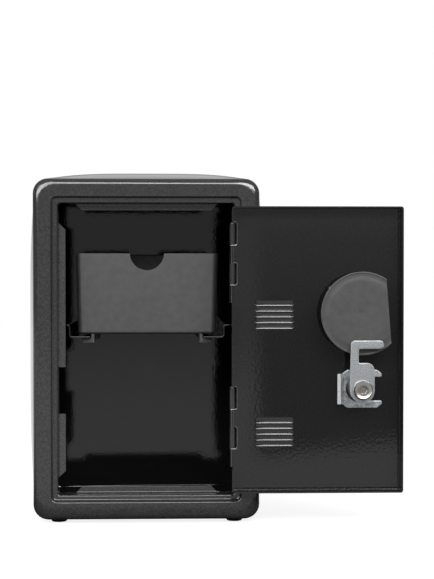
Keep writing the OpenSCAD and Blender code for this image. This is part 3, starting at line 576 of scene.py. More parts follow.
def loft(rings, closed=True, first_cap=False, last_cap=False):
    """Points and faces of a skin through rings that have the same number of points."""
    count = len(rings[0])
    faces = []
    for k in range(len(rings) - 1):
        for i in range(count if closed else count - 1):
            j = (i + 1) % count
            faces.append((k * count + i, k * count + j, (k + 1) * count + j, (k + 1) * count + i))
    if first_cap:
        faces.append(tuple(reversed(range(count))))
    if last_cap:
        faces.append(tuple((len(rings) - 1) * count + i for i in range(count)))
    return [point for ring in rings for point in ring], faces


print("an outline with four round corners has", len(upright_ring(-1, 1, -1, 1, 0.5, 0)), "points")

# %% [markdown]
# A mesh built by hand needs the same last steps each time: scale to metres, weld points that coincide, and
# turn the faces outwards. Blender's bmesh does these on plain data, without selecting anything.

# %% Objects from points
WELD = 1e-6


def object_from(name, shape):
    """Object whose mesh is a finished bmesh."""
    mesh = bpy.data.meshes.new(name)
    shape.to_mesh(mesh)
    shape.free()
    return add_object(name, mesh)


def build(name, skin, place=None, solid=False, flip=False):
    """Object from a skin in millimetres; a solid's faces are turned outwards."""
    points, faces = skin
    matrix = Matrix.Scale(MM, 4) @ (place or Matrix.Identity(4))
    shape = bmesh.new()
    corners = [shape.verts.new(matrix @ Vector(point)) for point in points]
    for face in faces:
        shape.faces.new([corners[i] for i in face])
    bmesh.ops.remove_doubles(shape, verts=shape.verts, dist=WELD)
    if solid:
        bmesh.ops.recalc_face_normals(shape, faces=shape.faces)
    if flip:
        bmesh.ops.reverse_faces(shape, faces=shape.faces)
    return object_from(name, shape)


def join(name, parts):
    """One object from several."""
    shape = bmesh.new()
    for part in parts:
        shape.from_mesh(part.data)
        bpy.data.objects.remove(part)
    return object_from(name, shape)

# %% [markdown]
# Sheet thickness, cuts and rounded edges are modifiers, which spare the script from doing the geometry. A
# cut with the exact solver copes with faces that touch, which a pressed part has many of.

# %% Thickness, cuts and rounded edges
def settle(piece):
    """Makes the result of a piece's modifiers its mesh."""
    graph = bpy.context.evaluated_depsgraph_get()
    mesh = bpy.data.meshes.new_from_object(piece.evaluated_get(graph))
    piece.modifiers.clear()
    piece.data = mesh


def thicken(piece, thickness, even=True, weights=""):
    """Gives a skin its sheet thickness behind the face that shows; a vertex group may thin it."""
    sheet = piece.modifiers.new("sheet", "SOLIDIFY")
    sheet.thickness = thickness * MM
    sheet.offset = -1
    sheet.use_even_offset = even
    sheet.vertex_group = weights
    settle(piece)


def carve(piece, cutters, operation="DIFFERENCE"):
    """Cuts pieces out of a piece, or welds them to it."""
    for cutter in cutters:
        step = piece.modifiers.new("carve", "BOOLEAN")
        step.operation = operation
        step.solver = "EXACT"
        step.object = cutter
    settle(piece)
    for cutter in cutters:
        bpy.data.objects.remove(cutter)


def round_edges(piece, width, segments=2, angle=40):
    """Adds a bevel to the edges that are sharper than an angle in degrees."""
    edges = piece.modifiers.new("edges", "BEVEL")
    edges.width = width * MM
    edges.segments = segments
    edges.limit_method = "ANGLE"
    edges.angle_limit = math.radians(angle)

# %% [markdown]
# Blanked parts are flat outlines with rounded rims. A 2D curve with a bevel gives both, holes included, and
# is then turned into a mesh. Round parts are turned from a section about their own axis, as on a lathe.

# %% Flat parts and turned parts
def mesh_of(name, curve):
    """Mesh of a curve or text; the object that Blender needs for it is removed again."""
    holder = add_object(name, curve)
    graph = bpy.context.evaluated_depsgraph_get()
    mesh = bpy.data.meshes.new_from_object(holder.evaluated_get(graph))
    bpy.data.objects.remove(holder)
    return mesh


def flat_part(name, outlines, low, high, edge, place=None):
    """Part of even thickness between two heights, with its rim rounded; the later outlines are holes."""
    curve = bpy.data.curves.new(name, "CURVE")
    curve.dimensions = "2D"
    curve.fill_mode = "BOTH"
    curve.extrude = (high - low) / 2 - edge
    curve.bevel_depth = edge
    curve.bevel_resolution = 2
    curve.offset = -edge
    for outline in outlines:
        line = curve.splines.new("POLY")
        line.points.add(len(outline) - 1)
        for point, (u, v) in zip(line.points, outline):
            point.co = (u, v, 0, 1)
        line.use_cyclic_u = True
    shape = bmesh.new()
    shape.from_mesh(mesh_of(name, curve))
    lift = Matrix.Translation((0, 0, (low + high) / 2))
    shape.transform(Matrix.Scale(MM, 4) @ (place or Matrix.Identity(4)) @ lift)
    bmesh.ops.remove_doubles(shape, verts=shape.verts, dist=WELD)
    bmesh.ops.recalc_face_normals(shape, faces=shape.faces)
    return object_from(name, shape)


def turned(name, profile, place=None, steps=72, radius_at=None):
    """Part turned about the local Z axis from (radius, height) points; radius_at may flute it."""
    closed = list(profile) + ([profile[0]] if profile[0][0] > 0 else [])
    rings = []
    for radius, height in closed:
        ring = []
        for k in range(steps):
            angle = math.tau * k / steps
            reach = radius_at(radius, height, angle) if radius_at else radius
            ring.append(Vector((reach * math.cos(angle), reach * math.sin(angle), height)))
        rings.append(ring)
    return build(name, loft(rings), place, solid=True)

# %% [markdown]
# A mark that is known only from the photograph is put where the ray through its image point meets the
# finished piece, so that it sits on the real surface and not on a guessed plane. Dressing a piece is the
# last step: edges, shading, finish, the body that it rides on, and hiding the CAD nodes that it stands for.

# %% Placing on a finished piece
def on_surface(x, y, carrier):
    """Place in millimetres where an image point's ray meets a piece, or the piece's nearest to the ray."""
    bpy.context.view_layer.update()
    places = [carrier.matrix_world @ vertex.co for vertex in carrier.data.vertices]
    tree = BVHTree.FromPolygons(places, [tuple(face.vertices) for face in carrier.data.polygons])
    start, way = pixel_ray(x, y)
    hit = tree.ray_cast(start, way)[0]
    if hit is None:
        hit = min(places, key=lambda place: (place - start).cross(way).length)
    return hit / MM

# %% Last touches on a piece
def paint_light_on_faces(piece, material, chosen):
    """Gives the faces that chosen(face) picks a paler finish, as painted light or a painted highlight."""
    piece.data.materials.append(material)
    for face in piece.data.polygons:
        if chosen(face):
            face.material_index = len(piece.data.materials) - 1


def dress(piece, material, body, nodes=(), bevel=0.0, sharp=38):
    """Rounds a piece's edges, keeps its flat faces flat, gives it its finish and body, and hides its CAD
    nodes.
    """
    if bevel:
        round_edges(piece, bevel)
        settle(piece)
    for face in piece.data.polygons:
        face.use_smooth = True
    piece.data.set_sharp_from_angle(angle=math.radians(sharp))
    normals = piece.modifiers.new("flat faces", "WEIGHTED_NORMAL")
    normals.keep_sharp = True
    piece.data.materials.clear()
    piece.data.materials.append(material)
    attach(piece, body)
    if nodes:
        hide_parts(*nodes)
    print(piece.name, len(piece.data.polygons), "faces on", body)
    return piece


def keep_node(node, material, bevel=0.0):
    """Gives a CAD node its finish, and rounds its edges without touching its mesh."""
    piece = frame["nodes"][node]
    piece.data.materials.clear()
    piece.data.materials.append(material)
    if bevel:
        round_edges(piece, bevel)
    print(node, "kept from the CAD")

# %% [markdown]
# ## Front frame
# The front is one deep-drawn pressing: a rounded outer edge, a flat band, a sloped step down to a ledge,
# and a lip that runs into the cabinet. Its cross-section is the same all round, so it is lofted through
# rounded rectangles, one for each point of the section, and the sheet thickness is added behind.

# %% Front frame
RIM_END = SHELL_LOW.y
LIP_END = CABINET_HIGH.y
STEP_TOP = BAND - LEDGE - SLOPE
# (distance in from the rim, corner radius there)
CORNER_RADII = [
    (0, 8.0), (1.0, 8.6), (EDGE_R, 11.6), (STEP_TOP - 1.5, 5.0), (STEP_TOP + SLOPE, 2.6), (BAND, 1.3)]


def corner_radius(inset):
    """Corner radius of the pressing's outline some way in from its rim; the drawn corners are the softest."""
    for (a, at_a), (b, at_b) in zip(CORNER_RADII, CORNER_RADII[1:]):
        if inset <= b:
            return at_a + (at_b - at_a) * max(inset - a, 0) / (b - a)
    return CORNER_RADII[-1][1]


section = rounded([
    (0.35, RIM_END, 0), (0, RIM_END, 0.3), (0, FACE_Y, EDGE_R), (STEP_TOP, FACE_Y, 1.1),
    (STEP_TOP + SLOPE, FACE_Y + STEP, 1.1), (BAND, FACE_Y + STEP, 0.95), (BAND, LIP_END, 0)], 8)
frame_rings = []
for inset, y in section:
    frame_rings.append(upright_ring(
        -HALF_W + inset, HALF_W - inset, FLOOR_Z + inset, ROOF_Z - inset, corner_radius(inset), y))
pressing = build("front_frame_pressing", loft(frame_rings))
thicken(pressing, SHEET)
print("front frame section of", len(section), "points")

# %% [markdown]
# The closed door rests on four stops, tongues of the same sheet bent inwards from the lip's back edge.
# Each is a short section with the bend's radius in it, swept along its side and cut off at a slant. All
# but the low one have a paler finish, painted light where the frame's lip shades them.

# %% Door stops
STOP_REACH = 3.6
STOP_BEND = 0.9
STOP_TAPER = 3.4
STOP_FACE = LIP_END - SHEET
STOP_ROOT = STOP_FACE - STOP_BEND * 1.02
END_STOP_X = OPENING_X - 9.0
UPPER_STOP_TOP = OPENING_TOP - 10.3
LOWER_STOP_FOOT = OPENING_LOW + 8.5
# The side stops leave a gap for the cam's hook.
CAM_GAP_HALF = 12.5
CAM_GAP = (LOCK.z - 2.2 - CAM_GAP_HALF, LOCK.z - 2.2 + CAM_GAP_HALF)
LEFT_SIDE = (-OPENING_X, 0, 0)
RIGHT, UP, DOWN = (1, 0, 0), (0, 0, 1), (0, 0, -1)

stop_section = rounded([
    (-SHEET * 0.8, STOP_ROOT, 0), (0, STOP_ROOT, 0), (0, STOP_FACE, STOP_BEND), (STOP_REACH, STOP_FACE, 0.3),
    (STOP_REACH, LIP_END, 0.3), (-SHEET * 0.8, LIP_END, 0)], 5)


def stop(name, start, end, start_taper, end_taper, along, inwards, origin):
    """Door stop between two places along one side of the opening."""
    place = Matrix.Translation(origin) @ Matrix((along, inwards, (0, 1, 0))).transposed().to_4x4()
    rings = []
    for at, taper in ((start, start_taper), (end, -end_taper)):
        rings.append([Vector((at + taper * max(t, 0) / STOP_REACH, t, y)) for t, y in stop_section])
    return build(name, loft(rings, first_cap=True, last_cap=True), place, solid=True)


stops = [
    stop("top_stop", -END_STOP_X, END_STOP_X, STOP_TAPER, STOP_TAPER, RIGHT, DOWN, (0, 0, OPENING_TOP)),
    stop("low_stop", -END_STOP_X, END_STOP_X, STOP_TAPER, STOP_TAPER, RIGHT, UP, (0, 0, OPENING_LOW)),
    stop("upper_side", CAM_GAP[1], UPPER_STOP_TOP, 0, STOP_TAPER, UP, RIGHT, LEFT_SIDE),
    stop("lower_side", LOWER_STOP_FOOT, CAM_GAP[0], STOP_TAPER, 0, UP, RIGHT, LEFT_SIDE),
]
stop_tongues = dress(join("door_stops", stops), COAT_OUTSIDE, "cabinet", bevel=0.15)
# Painted light: the stops above the low one get a paler coat.
paint_light_on_faces(stop_tongues, COAT_TONGUE_PAINTED_LIGHT, lambda face: face.center.z > (OPENING_LOW + 6) * MM)
dress(pressing, COAT_OUTSIDE, "cabinet", ["front_frame"])

# %% [markdown]
# ## Shell and back
# One sheet wraps from the base's left edge over the top to its right edge. Rolled steel springs outwards
# between the stiff front and back, so the sides and top swell by some millimetres in the middle. The same
# outline is therefore pushed out by a smooth formula, ring after ring from front to back.

# %% Wrapped shell
SIDE_SWELL = 5.0
TOP_SWELL = SHELL_HIGH.z - ROOF_Z
RING_COUNT = 28


def spaced(points, longest):
    """The same line with its long stretches divided."""
    line = [points[0]]
    for a, b in zip(points, points[1:]):
        pieces = max(1, math.ceil((b - a).length / longest))
        line += [a + (b - a) * k / pieces for k in range(1, pieces + 1)]
    return line


def swollen(x, z, y):
    """Moves an outline point outwards where the shell swells."""
    deep = 1 - (2 * y / (SHELL_HIGH.y - SHELL_LOW.y)) ** 2
    u = x / HALF_W
    v = (z - MID_Z) / (ROOF_Z - MID_Z)
    out = SIDE_SWELL * deep * u * (1 - v ** 4)
    up = TOP_SWELL * deep * max(v, 0) * (1 - u ** 4)
    return Vector((x + out, y, z + up))


base_half = HALF_W - CORNER_R
low_r = CORNER_R * 0.999
wrap = spaced(rounded([
    (-base_half, FLOOR_Z, 0), (-HALF_W, FLOOR_Z, low_r), (-HALF_W, ROOF_Z, CORNER_R),
    (HALF_W, ROOF_Z, CORNER_R), (HALF_W, FLOOR_Z, low_r), (base_half, FLOOR_Z, 0)], 12), longest=6.0)
shell_rings = []
for k in range(RING_COUNT + 1):
    y = SHELL_LOW.y + (SHELL_HIGH.y - SHELL_LOW.y) * k / RING_COUNT
    shell_rings.append([swollen(p.x, p.y, y) for p in wrap])
shell = build("wrapped_shell", loft(shell_rings, closed=False))
thicken(shell, SHEET)
dress(shell, COAT_OUTSIDE, "cabinet", ["body_shell"])

# %% [markdown]
# The back is a flat panel with a folded rim, pressed in behind the shell. Its sheet springs outwards like
# the shell's, which bends the reflections in it: the photograph shows them as dark and bright bands. The
# swell is a parabola each way, mixed, and it fades out at the rim. It stays inside the CAD panel's depth.

# %% Back pressing
BACK_BULGE = 5.4
SIDEWAYS = 0.62
CREST_X, CREST_Z = 1.4, -0.22
FADE = 4
FLAT_RIM = 1


def divided(ring, count=10):
    """Ring of four arcs with its long straight sides divided alike."""
    whole = []
    for i, (a, b) in enumerate(zip(ring, ring[1:] + ring[:1])):
        pieces = count if (i + 1) % (len(ring) // 4) == 0 else 1
        whole += [a + (b - a) * k / pieces for k in range(pieces)]
    return whole


def bulged(point, inset):
    """Sheet that springs outwards, most to the right and low down, as the reflections in it show."""
    u = point.x / HALF_W
    v = (point.z - MID_Z) / (ROOF_Z - MID_Z)
    sideways = 1 - ((u - CREST_X) / (1 + CREST_X)) ** 2
    upright = 1 - ((v - CREST_Z) / (1 - CREST_Z)) ** 2
    swell = BACK_BULGE * (SIDEWAYS * sideways + (1 - SIDEWAYS) * upright)
    fade = min(max((inset - FLAT_RIM) / FADE, 0), 1)
    return Vector((point.x, point.y + swell * fade * fade * (3 - 2 * fade), point.z))


rim_y = BACK_HIGH.y - BACK_BULGE
BACK_INSETS = (2, 2.6, 3.2, 3.8, 4.4, 5, 7, 9, 11, 15, 20, 26, 32, 38, 44, 50, 55, 58.5)
back_section = [tuple(p) for p in rounded([
    (0.35, BACK_LOW.y, 0), (0, BACK_LOW.y, 0.3), (0, rim_y, 1.2), (1.6, rim_y, 0)])]
back_section += [(inset, rim_y) for inset in BACK_INSETS]
back_rings = []
for inset, y in back_section:
    radius = min(max(CORNER_R - inset, 1.0), HALF_W - inset - 0.2)
    ring = divided(upright_ring(-HALF_W + inset, HALF_W - inset, FLOOR_Z + inset, ROOF_Z - inset, radius, y))
    back_rings.append([bulged(point, inset) for point in ring])
back = build("back_pressing", loft(back_rings, last_cap=True), flip=True)
thicken(back, SHEET, even=False)
# The back takes the inside copy of the coat, painted darker as shade.
dress(back, COAT_INSIDE_PAINTED_SHADE, "cabinet", ["back_panel"])
keep_node("base_plate", COAT_OUTSIDE, 0.15)

# %% [markdown]
# ## Feet
# Four push-in rubber feet keep the safe off the table. Each has a domed pad below the plate and a stem with
# a barb above it. A cylinder with bevels would miss the barb, so each is turned from a short section.

# %% Feet
FEET_LOW, FEET_HIGH = mm_box("rubber_feet")
FOOT_R = 4.5
STEM_R = 2.0
BARB = 1
foot_profile = rounded([
    (0, FEET_LOW.z, 0), (FOOT_R, FEET_LOW.z, 1.2), (FOOT_R - 0.2, FLOOR_Z, 0.2), (STEM_R, FLOOR_Z, 0),
    (STEM_R, FLOOR_Z + SHEET, 0), (STEM_R + BARB, FLOOR_Z + SHEET, 0.2), (STEM_R, FEET_HIGH.z, 0.3),
    (0, FEET_HIGH.z, 0)], 4)
feet = []
for x in (FEET_LOW.x + FOOT_R, FEET_HIGH.x - FOOT_R):
    for y in (FEET_LOW.y + FOOT_R, FEET_HIGH.y - FOOT_R):
        feet.append(turned("foot", foot_profile, Matrix.Translation((x, y, 0)), 32))
dress(join("rubber_feet_set", feet), RUBBER, "cabinet", ["rubber_feet"])

# %% [markdown]
# ## Rails
# A Z-shaped bracket on each side carries the tray: its wide upper leg is spot-welded to the wall and its
# lower leg runs under the tray's rim. The upper leg's outer edge follows the swelling wall, which a plain
# extrusion can't, so the section is drawn anew at each step from front to back and lofted.

# %% Rails
RAIL_LOW, RAIL_HIGH = mm_box("right_rail")
RAIL_SHEET = 0.8
RAIL_DROP = 6.5
UPRIGHT_X = 41.25
RAIL_BEND = 1.1
RAIL_PAST_SHELL = 1.5
WALL_GAP = 0.15
run_z = RAIL_HIGH.z - RAIL_DROP


def rail_section(wall_x):
    """The bracket's section, from the wall down to the end of its lower leg."""
    under = RAIL_HIGH.z - RAIL_SHEET
    outer = RAIL_BEND + RAIL_SHEET
    return rounded([
        (wall_x, RAIL_HIGH.z, 0.2), (UPRIGHT_X, RAIL_HIGH.z, outer), (UPRIGHT_X, run_z, RAIL_BEND),
        (RAIL_LOW.x, run_z, 0.25), (RAIL_LOW.x, run_z - RAIL_SHEET, 0.25),
        (UPRIGHT_X + RAIL_SHEET, run_z - RAIL_SHEET, outer), (UPRIGHT_X + RAIL_SHEET, under, RAIL_BEND),
        (wall_x, under, 0.2)], 5)


for side, node in ((-1, "left_rail"), (1, "right_rail")):
    rings = []
    for k in range(RING_COUNT + 1):
        y = RAIL_LOW.y + (SHELL_HIGH.y + RAIL_PAST_SHELL - RAIL_LOW.y) * k / RING_COUNT
        wall = swollen(HALF_W, RAIL_HIGH.z, min(y, SHELL_HIGH.y)).x - SHEET - WALL_GAP
        rings.append([Vector((side * x, y, z)) for x, z in rail_section(wall)])
    rail = build(node + "_bracket", loft(rings, first_cap=True, last_cap=True), solid=True)
    # The brackets take the inside copy of the coat, painted darker as shade.
    dress(rail, COAT_INSIDE_PAINTED_SHADE, "cabinet", [node], bevel=0.2)

# %% [markdown]
# ## Hinges
# Each hinge is rolled from sheet: the leaf on the cabinet ends in two knuckles, and the door's own sheet
# is rolled into the two between them. A rolled knuckle isn't a tube. It is a strip curled round the pin,
# and the slit where it ends shows. So each is an outline of a hook, given its length along the pin.

# %% Rolled knuckles
HINGE_LEN = 42.0
BODY_KNUCKLE = 11.0
DOOR_KNUCKLE = HINGE_LEN / 2 - BODY_KNUCKLE
KNUCKLE_GAP = 0.3
# How far round the pin a strip's outer and inner faces curl, in degrees.
CURL_OUTSIDE = 318
CURL_INSIDE = 312
hinge_tops = {"upper": mm_box("upper_hinge_leaf")[1].z, "lower": mm_box("lower_hinge_leaf")[1].z}


def hook(bore, tail, tail_end, turn):
    """Outline of a strip that runs straight in from its tail and curls round the pin."""
    across = Matrix.Rotation(math.radians(turn), 2)
    outer = arc((0, 0), KNUCKLE_R, -90, -90 - CURL_OUTSIDE, 26)
    inner = arc((0, 0), bore, -90 - CURL_INSIDE, -90, 22)
    local = [Vector((tail_end, -KNUCKLE_R))] + outer + inner + [Vector((tail_end, -KNUCKLE_R + tail))]
    return [across @ point + HINGE.xy for point in local]


def body_knuckles(top):
    """Low ends of a hinge's two knuckles on the cabinet."""
    return [top - BODY_KNUCKLE, top - HINGE_LEN / 2 - BODY_KNUCKLE]


def door_knuckles(top):
    """Low ends of its two knuckles on the door."""
    return [top - HINGE_LEN / 2, top - HINGE_LEN]


print("hinge tops at", {name: round(top, 2) for name, top in hinge_tops.items()}, "mm")

# %% [markdown]
# The leaf is a flat blank, and the pin is turned with a head that keeps it from dropping through. Both stay
# on the cabinet's body while the door's knuckles turn round the pin.

# %% Leaves and pins
PIN_R = 0.62
PIN_ROOM = 0.03
END_TRIM = 0.02
PIN_HEAD_R = KNUCKLE_R - 0.25
PIN_HEAD_H = 0.65
LEAF_SHEET = 0.8
leaf_plane = Matrix(((0, 0, 1), (1, 0, 0), (0, 1, 0))).to_4x4()
pin_place = Matrix.Translation((HINGE.x, HINGE.y, 0))
for name, top in hinge_tops.items():
    parts = []
    for low in body_knuckles(top):
        curl = hook(PIN_R + PIN_ROOM, KNUCKLE_R - PIN_R - PIN_ROOM, 3.4, 90)
        parts.append(flat_part("knuckle", [curl], low + END_TRIM, low + BODY_KNUCKLE - END_TRIM, 0.16))
    leaf_low, leaf_high = mm_box(name + "_hinge_leaf")
    leaf_front = HINGE.y + KNUCKLE_R + 0.4
    leaf = rounded([(leaf_front, leaf_low.z, 0.6), (leaf_high.y, leaf_low.z, 0.6),
                    (leaf_high.y, leaf_high.z, 0.6), (leaf_front, leaf_high.z, 0.6)], 4)
    parts.append(flat_part("leaf", [leaf], leaf_high.x - LEAF_SHEET, leaf_high.x, 0.15, leaf_plane))
    dress(join(name + "_hinge_strap", parts), COAT_OUTSIDE, "cabinet", [name + "_hinge_leaf"])
    pin_low = top - HINGE_LEN + 0.2
    pin = rounded([
        (0, pin_low, 0), (PIN_R, pin_low, 0.2), (PIN_R, top + 0.05, 0), (PIN_HEAD_R, top + 0.05, 0.1),
        (PIN_HEAD_R, top + PIN_HEAD_H, 0.35), (0, top + PIN_HEAD_H, 0)], 4)
    pin_piece = turned(name + "_headed_pin", pin, pin_place, 28)
    dress(pin_piece, PIN_STEEL, "cabinet", [name + "_hinge_pin"])

# %% [markdown]
# ## Door
# The door is a shallow pan: a sheet with its four edges folded towards the inside. Folding a flat mesh would
# leave its corners open, and the real ones are drawn closed. So it starts as a skin through rounded
# rectangles, from the flange's edge over the bend to the outer face.

# %% Door pan
HINGE_SIDE_GAP = 1.05
DOOR_LEFT = 2 * HINGE.x - (OPENING_X - HINGE_SIDE_GAP)
PAN_BEND = 1.1
PAN_CORNER_R = 1.4

pan_section = rounded([(0, DOOR_LOW.y, 0), (0, DOOR_OUT, PAN_BEND), (6, DOOR_OUT, 0)])
pan_rings = []
for inset, y in pan_section:
    pan_rings.append(upright_ring(
        DOOR_LEFT + inset, DOOR_HIGH.x - inset, DOOR_LOW.z + inset, DOOR_HIGH.z - inset,
        max(PAN_CORNER_R - inset, 0.3), y))
pan = build("door_pan", loft(pan_rings, last_cap=True), flip=True)
thicken(pan, DOOR_SHEET)
print("door pan", round(DOOR_HIGH.x - DOOR_LEFT, 1), "x", round(DOOR_HIGH.z - DOOR_LOW.z, 1), "mm")

# %% [markdown]
# Slots let the cabinet's knuckles through, and round holes take the dial's neck and the lock's barrel. They
# are cut out of the finished sheet, as a press does it, and their edges stay sharp for now.

# %% Slots and holes
SLOT_REACH = 2 * KNUCKLE_R - 0.5
SLOT_ROOM = 0.4
PIN_HEAD_ROOM = 1.2
TOP_SLOT_ROOM = 0.8
NECK_HOLE_R = 6.05
BARREL_HOLE_R = 8.05


def block(low, high, radius=0.0):
    """Cutter from corner to corner; its upright outline may be rounded."""
    corners = [(low[0], low[2], radius), (high[0], low[2], radius), (high[0], high[2], radius),
               (low[0], high[2], radius)]
    rings = [[Vector((x, y, z)) for x, z in rounded(corners, 3)] for y in (low[1], high[1])]
    return build("block", loft(rings, first_cap=True, last_cap=True), solid=True)


def knuckle_slots(top):
    """Low and high ends of the slots in the door round a hinge's two cabinet knuckles."""
    slots = []
    for low in body_knuckles(top):
        up = TOP_SLOT_ROOM if low + BODY_KNUCKLE > top - 1 else KNUCKLE_GAP / 2
        slots.append((low - KNUCKLE_GAP / 2, low + BODY_KNUCKLE + up))
    return slots


front, behind = DOOR_LOW.y - 1, DOOR_OUT + 1
cutters = []
for top in hinge_tops.values():
    low, high = top - HINGE_LEN - SLOT_ROOM, top + PIN_HEAD_ROOM
    cutters.append(block((DOOR_LEFT - 3, front, low), (HINGE.x, behind, high)))
    cutters.append(block((DOOR_LEFT - 3, front, low), (DOOR_LEFT + DOOR_SHEET + 0.05, DOOR_IN, high)))
for top in hinge_tops.values():
    for low, high in knuckle_slots(top):
        cutters.append(block(
            (HINGE.x - SLOT_REACH, DOOR_IN - 0.6, low), (HINGE.x + SLOT_REACH, behind, high), 1.0))
for place, radius in ((DIAL, NECK_HOLE_R), (LOCK, BARREL_HOLE_R)):
    hole = Matrix.Translation((place.x, 0, place.z)) @ Matrix.Rotation(math.radians(90), 4, "X")
    cutters.append(turned("hole", [(0, -behind), (radius, -behind), (radius, -front), (0, -front)], hole, 48))
print(len(cutters), "cuts in the door pan")
carve(pan, cutters)

# %% [markdown]
# ## Louvres
# Ten slits let the door breathe. Each is sheared and pushed out in one stroke, so the sheet above a slit
# bulges away as a small hood, and the sheet below it keeps a slightly rolled edge. Displacing the whole door
# would need a very fine mesh for so sharp a slit. A grid of its own for each group does it with few faces:
# its rows double at each slit, and a smooth bump that dies away at the ends pushes out the rows above.

# %% Louvre shape
LOUVRE_COUNT = 5
LOUVRE_PITCH = 3.04
LOUVRE_X = (58.05, 77.45)
HOOD_TOP = 2.7
HOOD_ENDS = 1.3
HOOD_DEPTH = 0.5
HOOD_CORNER = 1.1
# The hood's slope starts softly, over about a quarter of a millimetre.
HOOD_START = 0.25
# The sheet's edge stands furthest out at the slit, over the last MOUTH_REACH millimetres.
MOUTH = 1.3
MOUTH_REACH = 0.45
# The sheet under a slit has a rolled top edge: (height over the slit, how far it stands out).
LIP_ROLL = [(-0.9, 0.0), (-0.6, 0.01), (-0.42, 0.05), (-0.2, 0.115), (-0.08, 0.17), (0.0, 0.3)]
# Heights of a hood's rows; the last two reach past its top and are only for the top hood of a group.
HOOD_ROWS = [
    0.0, 0.12, 0.3, 0.5, 0.7, 1.0, 1.3, 1.6, 1.8, 2.0, 2.2, 2.4, 2.55, HOOD_TOP, HOOD_TOP + 0.15]
first_slits = {"upper": MID_Z + 23.6, "lower": MID_Z - 38.7}


def ease(t):
    """Smooth step from 0 to 1."""
    t = min(max(t, 0), 1)
    return t * t * (3 - 2 * t)


def hood_depth(x, above, top):
    """How far the sheet is pushed out at x, some way above a slit."""
    down = top - above
    side = min(x - LOUVRE_X[0], LOUVRE_X[1] - x) * HOOD_TOP / HOOD_ENDS
    if max(down, side) < HOOD_CORNER or (down < HOOD_CORNER and side < HOOD_CORNER):
        near = HOOD_CORNER - math.hypot(HOOD_CORNER - down, HOOD_CORNER - side)
    else:
        near = min(down, side)
    near = max(near, 0)
    slope = HOOD_DEPTH * (near - HOOD_START * (1 - math.exp(-near / HOOD_START))) / (HOOD_TOP - HOOD_START)
    mouth = (MOUTH - HOOD_DEPTH) * ease((MOUTH_REACH - above) / MOUTH_REACH) * ease(side / HOOD_TOP)
    return slope + mouth


def lip_depth(x, depth):
    """The rolled top edge of the sheet under a slit, fading at the slit's ends."""
    side = min(x - LOUVRE_X[0], LOUVRE_X[1] - x)
    return depth * ease(side / 0.5 + 0.35)


print(LOUVRE_COUNT, "louvres a group, hoods", round(hood_depth(sum(LOUVRE_X) / 2, 0, HOOD_TOP), 2), "mm deep")

# %% Louvre groups
PATCH_EDGE = 0.6
# The mouth's sheet is drawn thinner than the rest, by this part of its thickness.
MOUTH_THINNING = 0.44


def louvre_group(name, first):
    """Sheet patch with its slits and hoods, and the box that it fills in the door."""
    x0, x1 = LOUVRE_X[0] - PATCH_EDGE, LOUVRE_X[1] + PATCH_EDGE
    ends = [LOUVRE_X[0] + HOOD_ENDS * k / 9 for k in range(10)]
    xs = [x0] + ends + [LOUVRE_X[0] + LOUVRE_X[1] - x for x in reversed(ends)] + [x1]
    last = first - (LOUVRE_COUNT - 1) * LOUVRE_PITCH
    rings, slit_rows = [], set()
    for i in reversed(range(LOUVRE_COUNT)):
        slit = first - i * LOUVRE_PITCH
        for under, depth in LIP_ROLL:
            rings.append([Vector((x, DOOR_IN + lip_depth(x, depth), slit + under)) for x in xs])
        slit_rows.add(len(rings) - 1)
        top = HOOD_TOP if i == 0 else LOUVRE_PITCH + LIP_ROLL[0][0]
        for above in [row * top / HOOD_TOP for row in (HOOD_ROWS if i == 0 else HOOD_ROWS[:-2])]:
            rings.append([Vector((x, DOOR_IN + hood_depth(x, above, top), slit + above)) for x in xs])
    points, faces = loft(rings, closed=False)
    faces = [face for face in faces if face[0] // len(xs) not in slit_rows]
    patch = build(name, (points, faces))
    weight = patch.vertex_groups.new(name="thinning")
    for vertex in patch.data.vertices:
        push = (vertex.co.y / MM - DOOR_IN) / MOUTH
        weight.add([vertex.index], 1 - MOUTH_THINNING * push, "REPLACE")
    thicken(patch, DOOR_SHEET, even=False, weights="thinning")
    return patch, block((x0, front, last + LIP_ROLL[0][0]), (x1, behind, first + HOOD_ROWS[-1]))


groups = [louvre_group(name + "_louvres", z) for name, z in first_slits.items()]
print("louvre groups:", [patch.name for patch, _ in groups])

# %% [markdown]
# ## The door made whole
# The cut edges are rounded before the knuckles are welded on, so that the bevel meets plain cuts only. The
# weld is a union, and each louvre patch takes the place of a box cut out of the sheet.

# %% Knuckles and louvres joined to the pan
CUT_ROUND = 0.36
round_edges(pan, CUT_ROUND, segments=3, angle=50)
settle(pan)
knuckles = []
for top in hinge_tops.values():
    for low in door_knuckles(top):
        curl = hook(KNUCKLE_R - DOOR_SHEET, DOOR_SHEET, 0.6, 0)
        knuckles.append(flat_part(
            "door_knuckle", [curl], low + KNUCKLE_GAP / 2, low + DOOR_KNUCKLE - KNUCKLE_GAP / 2, 0.0))
carve(pan, knuckles, "UNION")
carve(pan, [hole for _, hole in groups])
pan = join("door_pan", [pan] + [patch for patch, _ in groups])
# The door takes its own darker copy of the coat, painted shade.
dress(pan, COAT_DOOR_PAINTED_SHADE, "door", ["door_panel"])

# %% [markdown]
# Powder is drawn to sharp edges and flows into a fat bead there. So each hinge slot has a bead swept round
# its edge, paler than the sheet as a painted highlight, and near white on its low side, a brighter painted
# highlight.

# %% Slot beads
BEAD_R = 0.24
BEAD_SINK = 0.08
BEAD_SIDES = 10


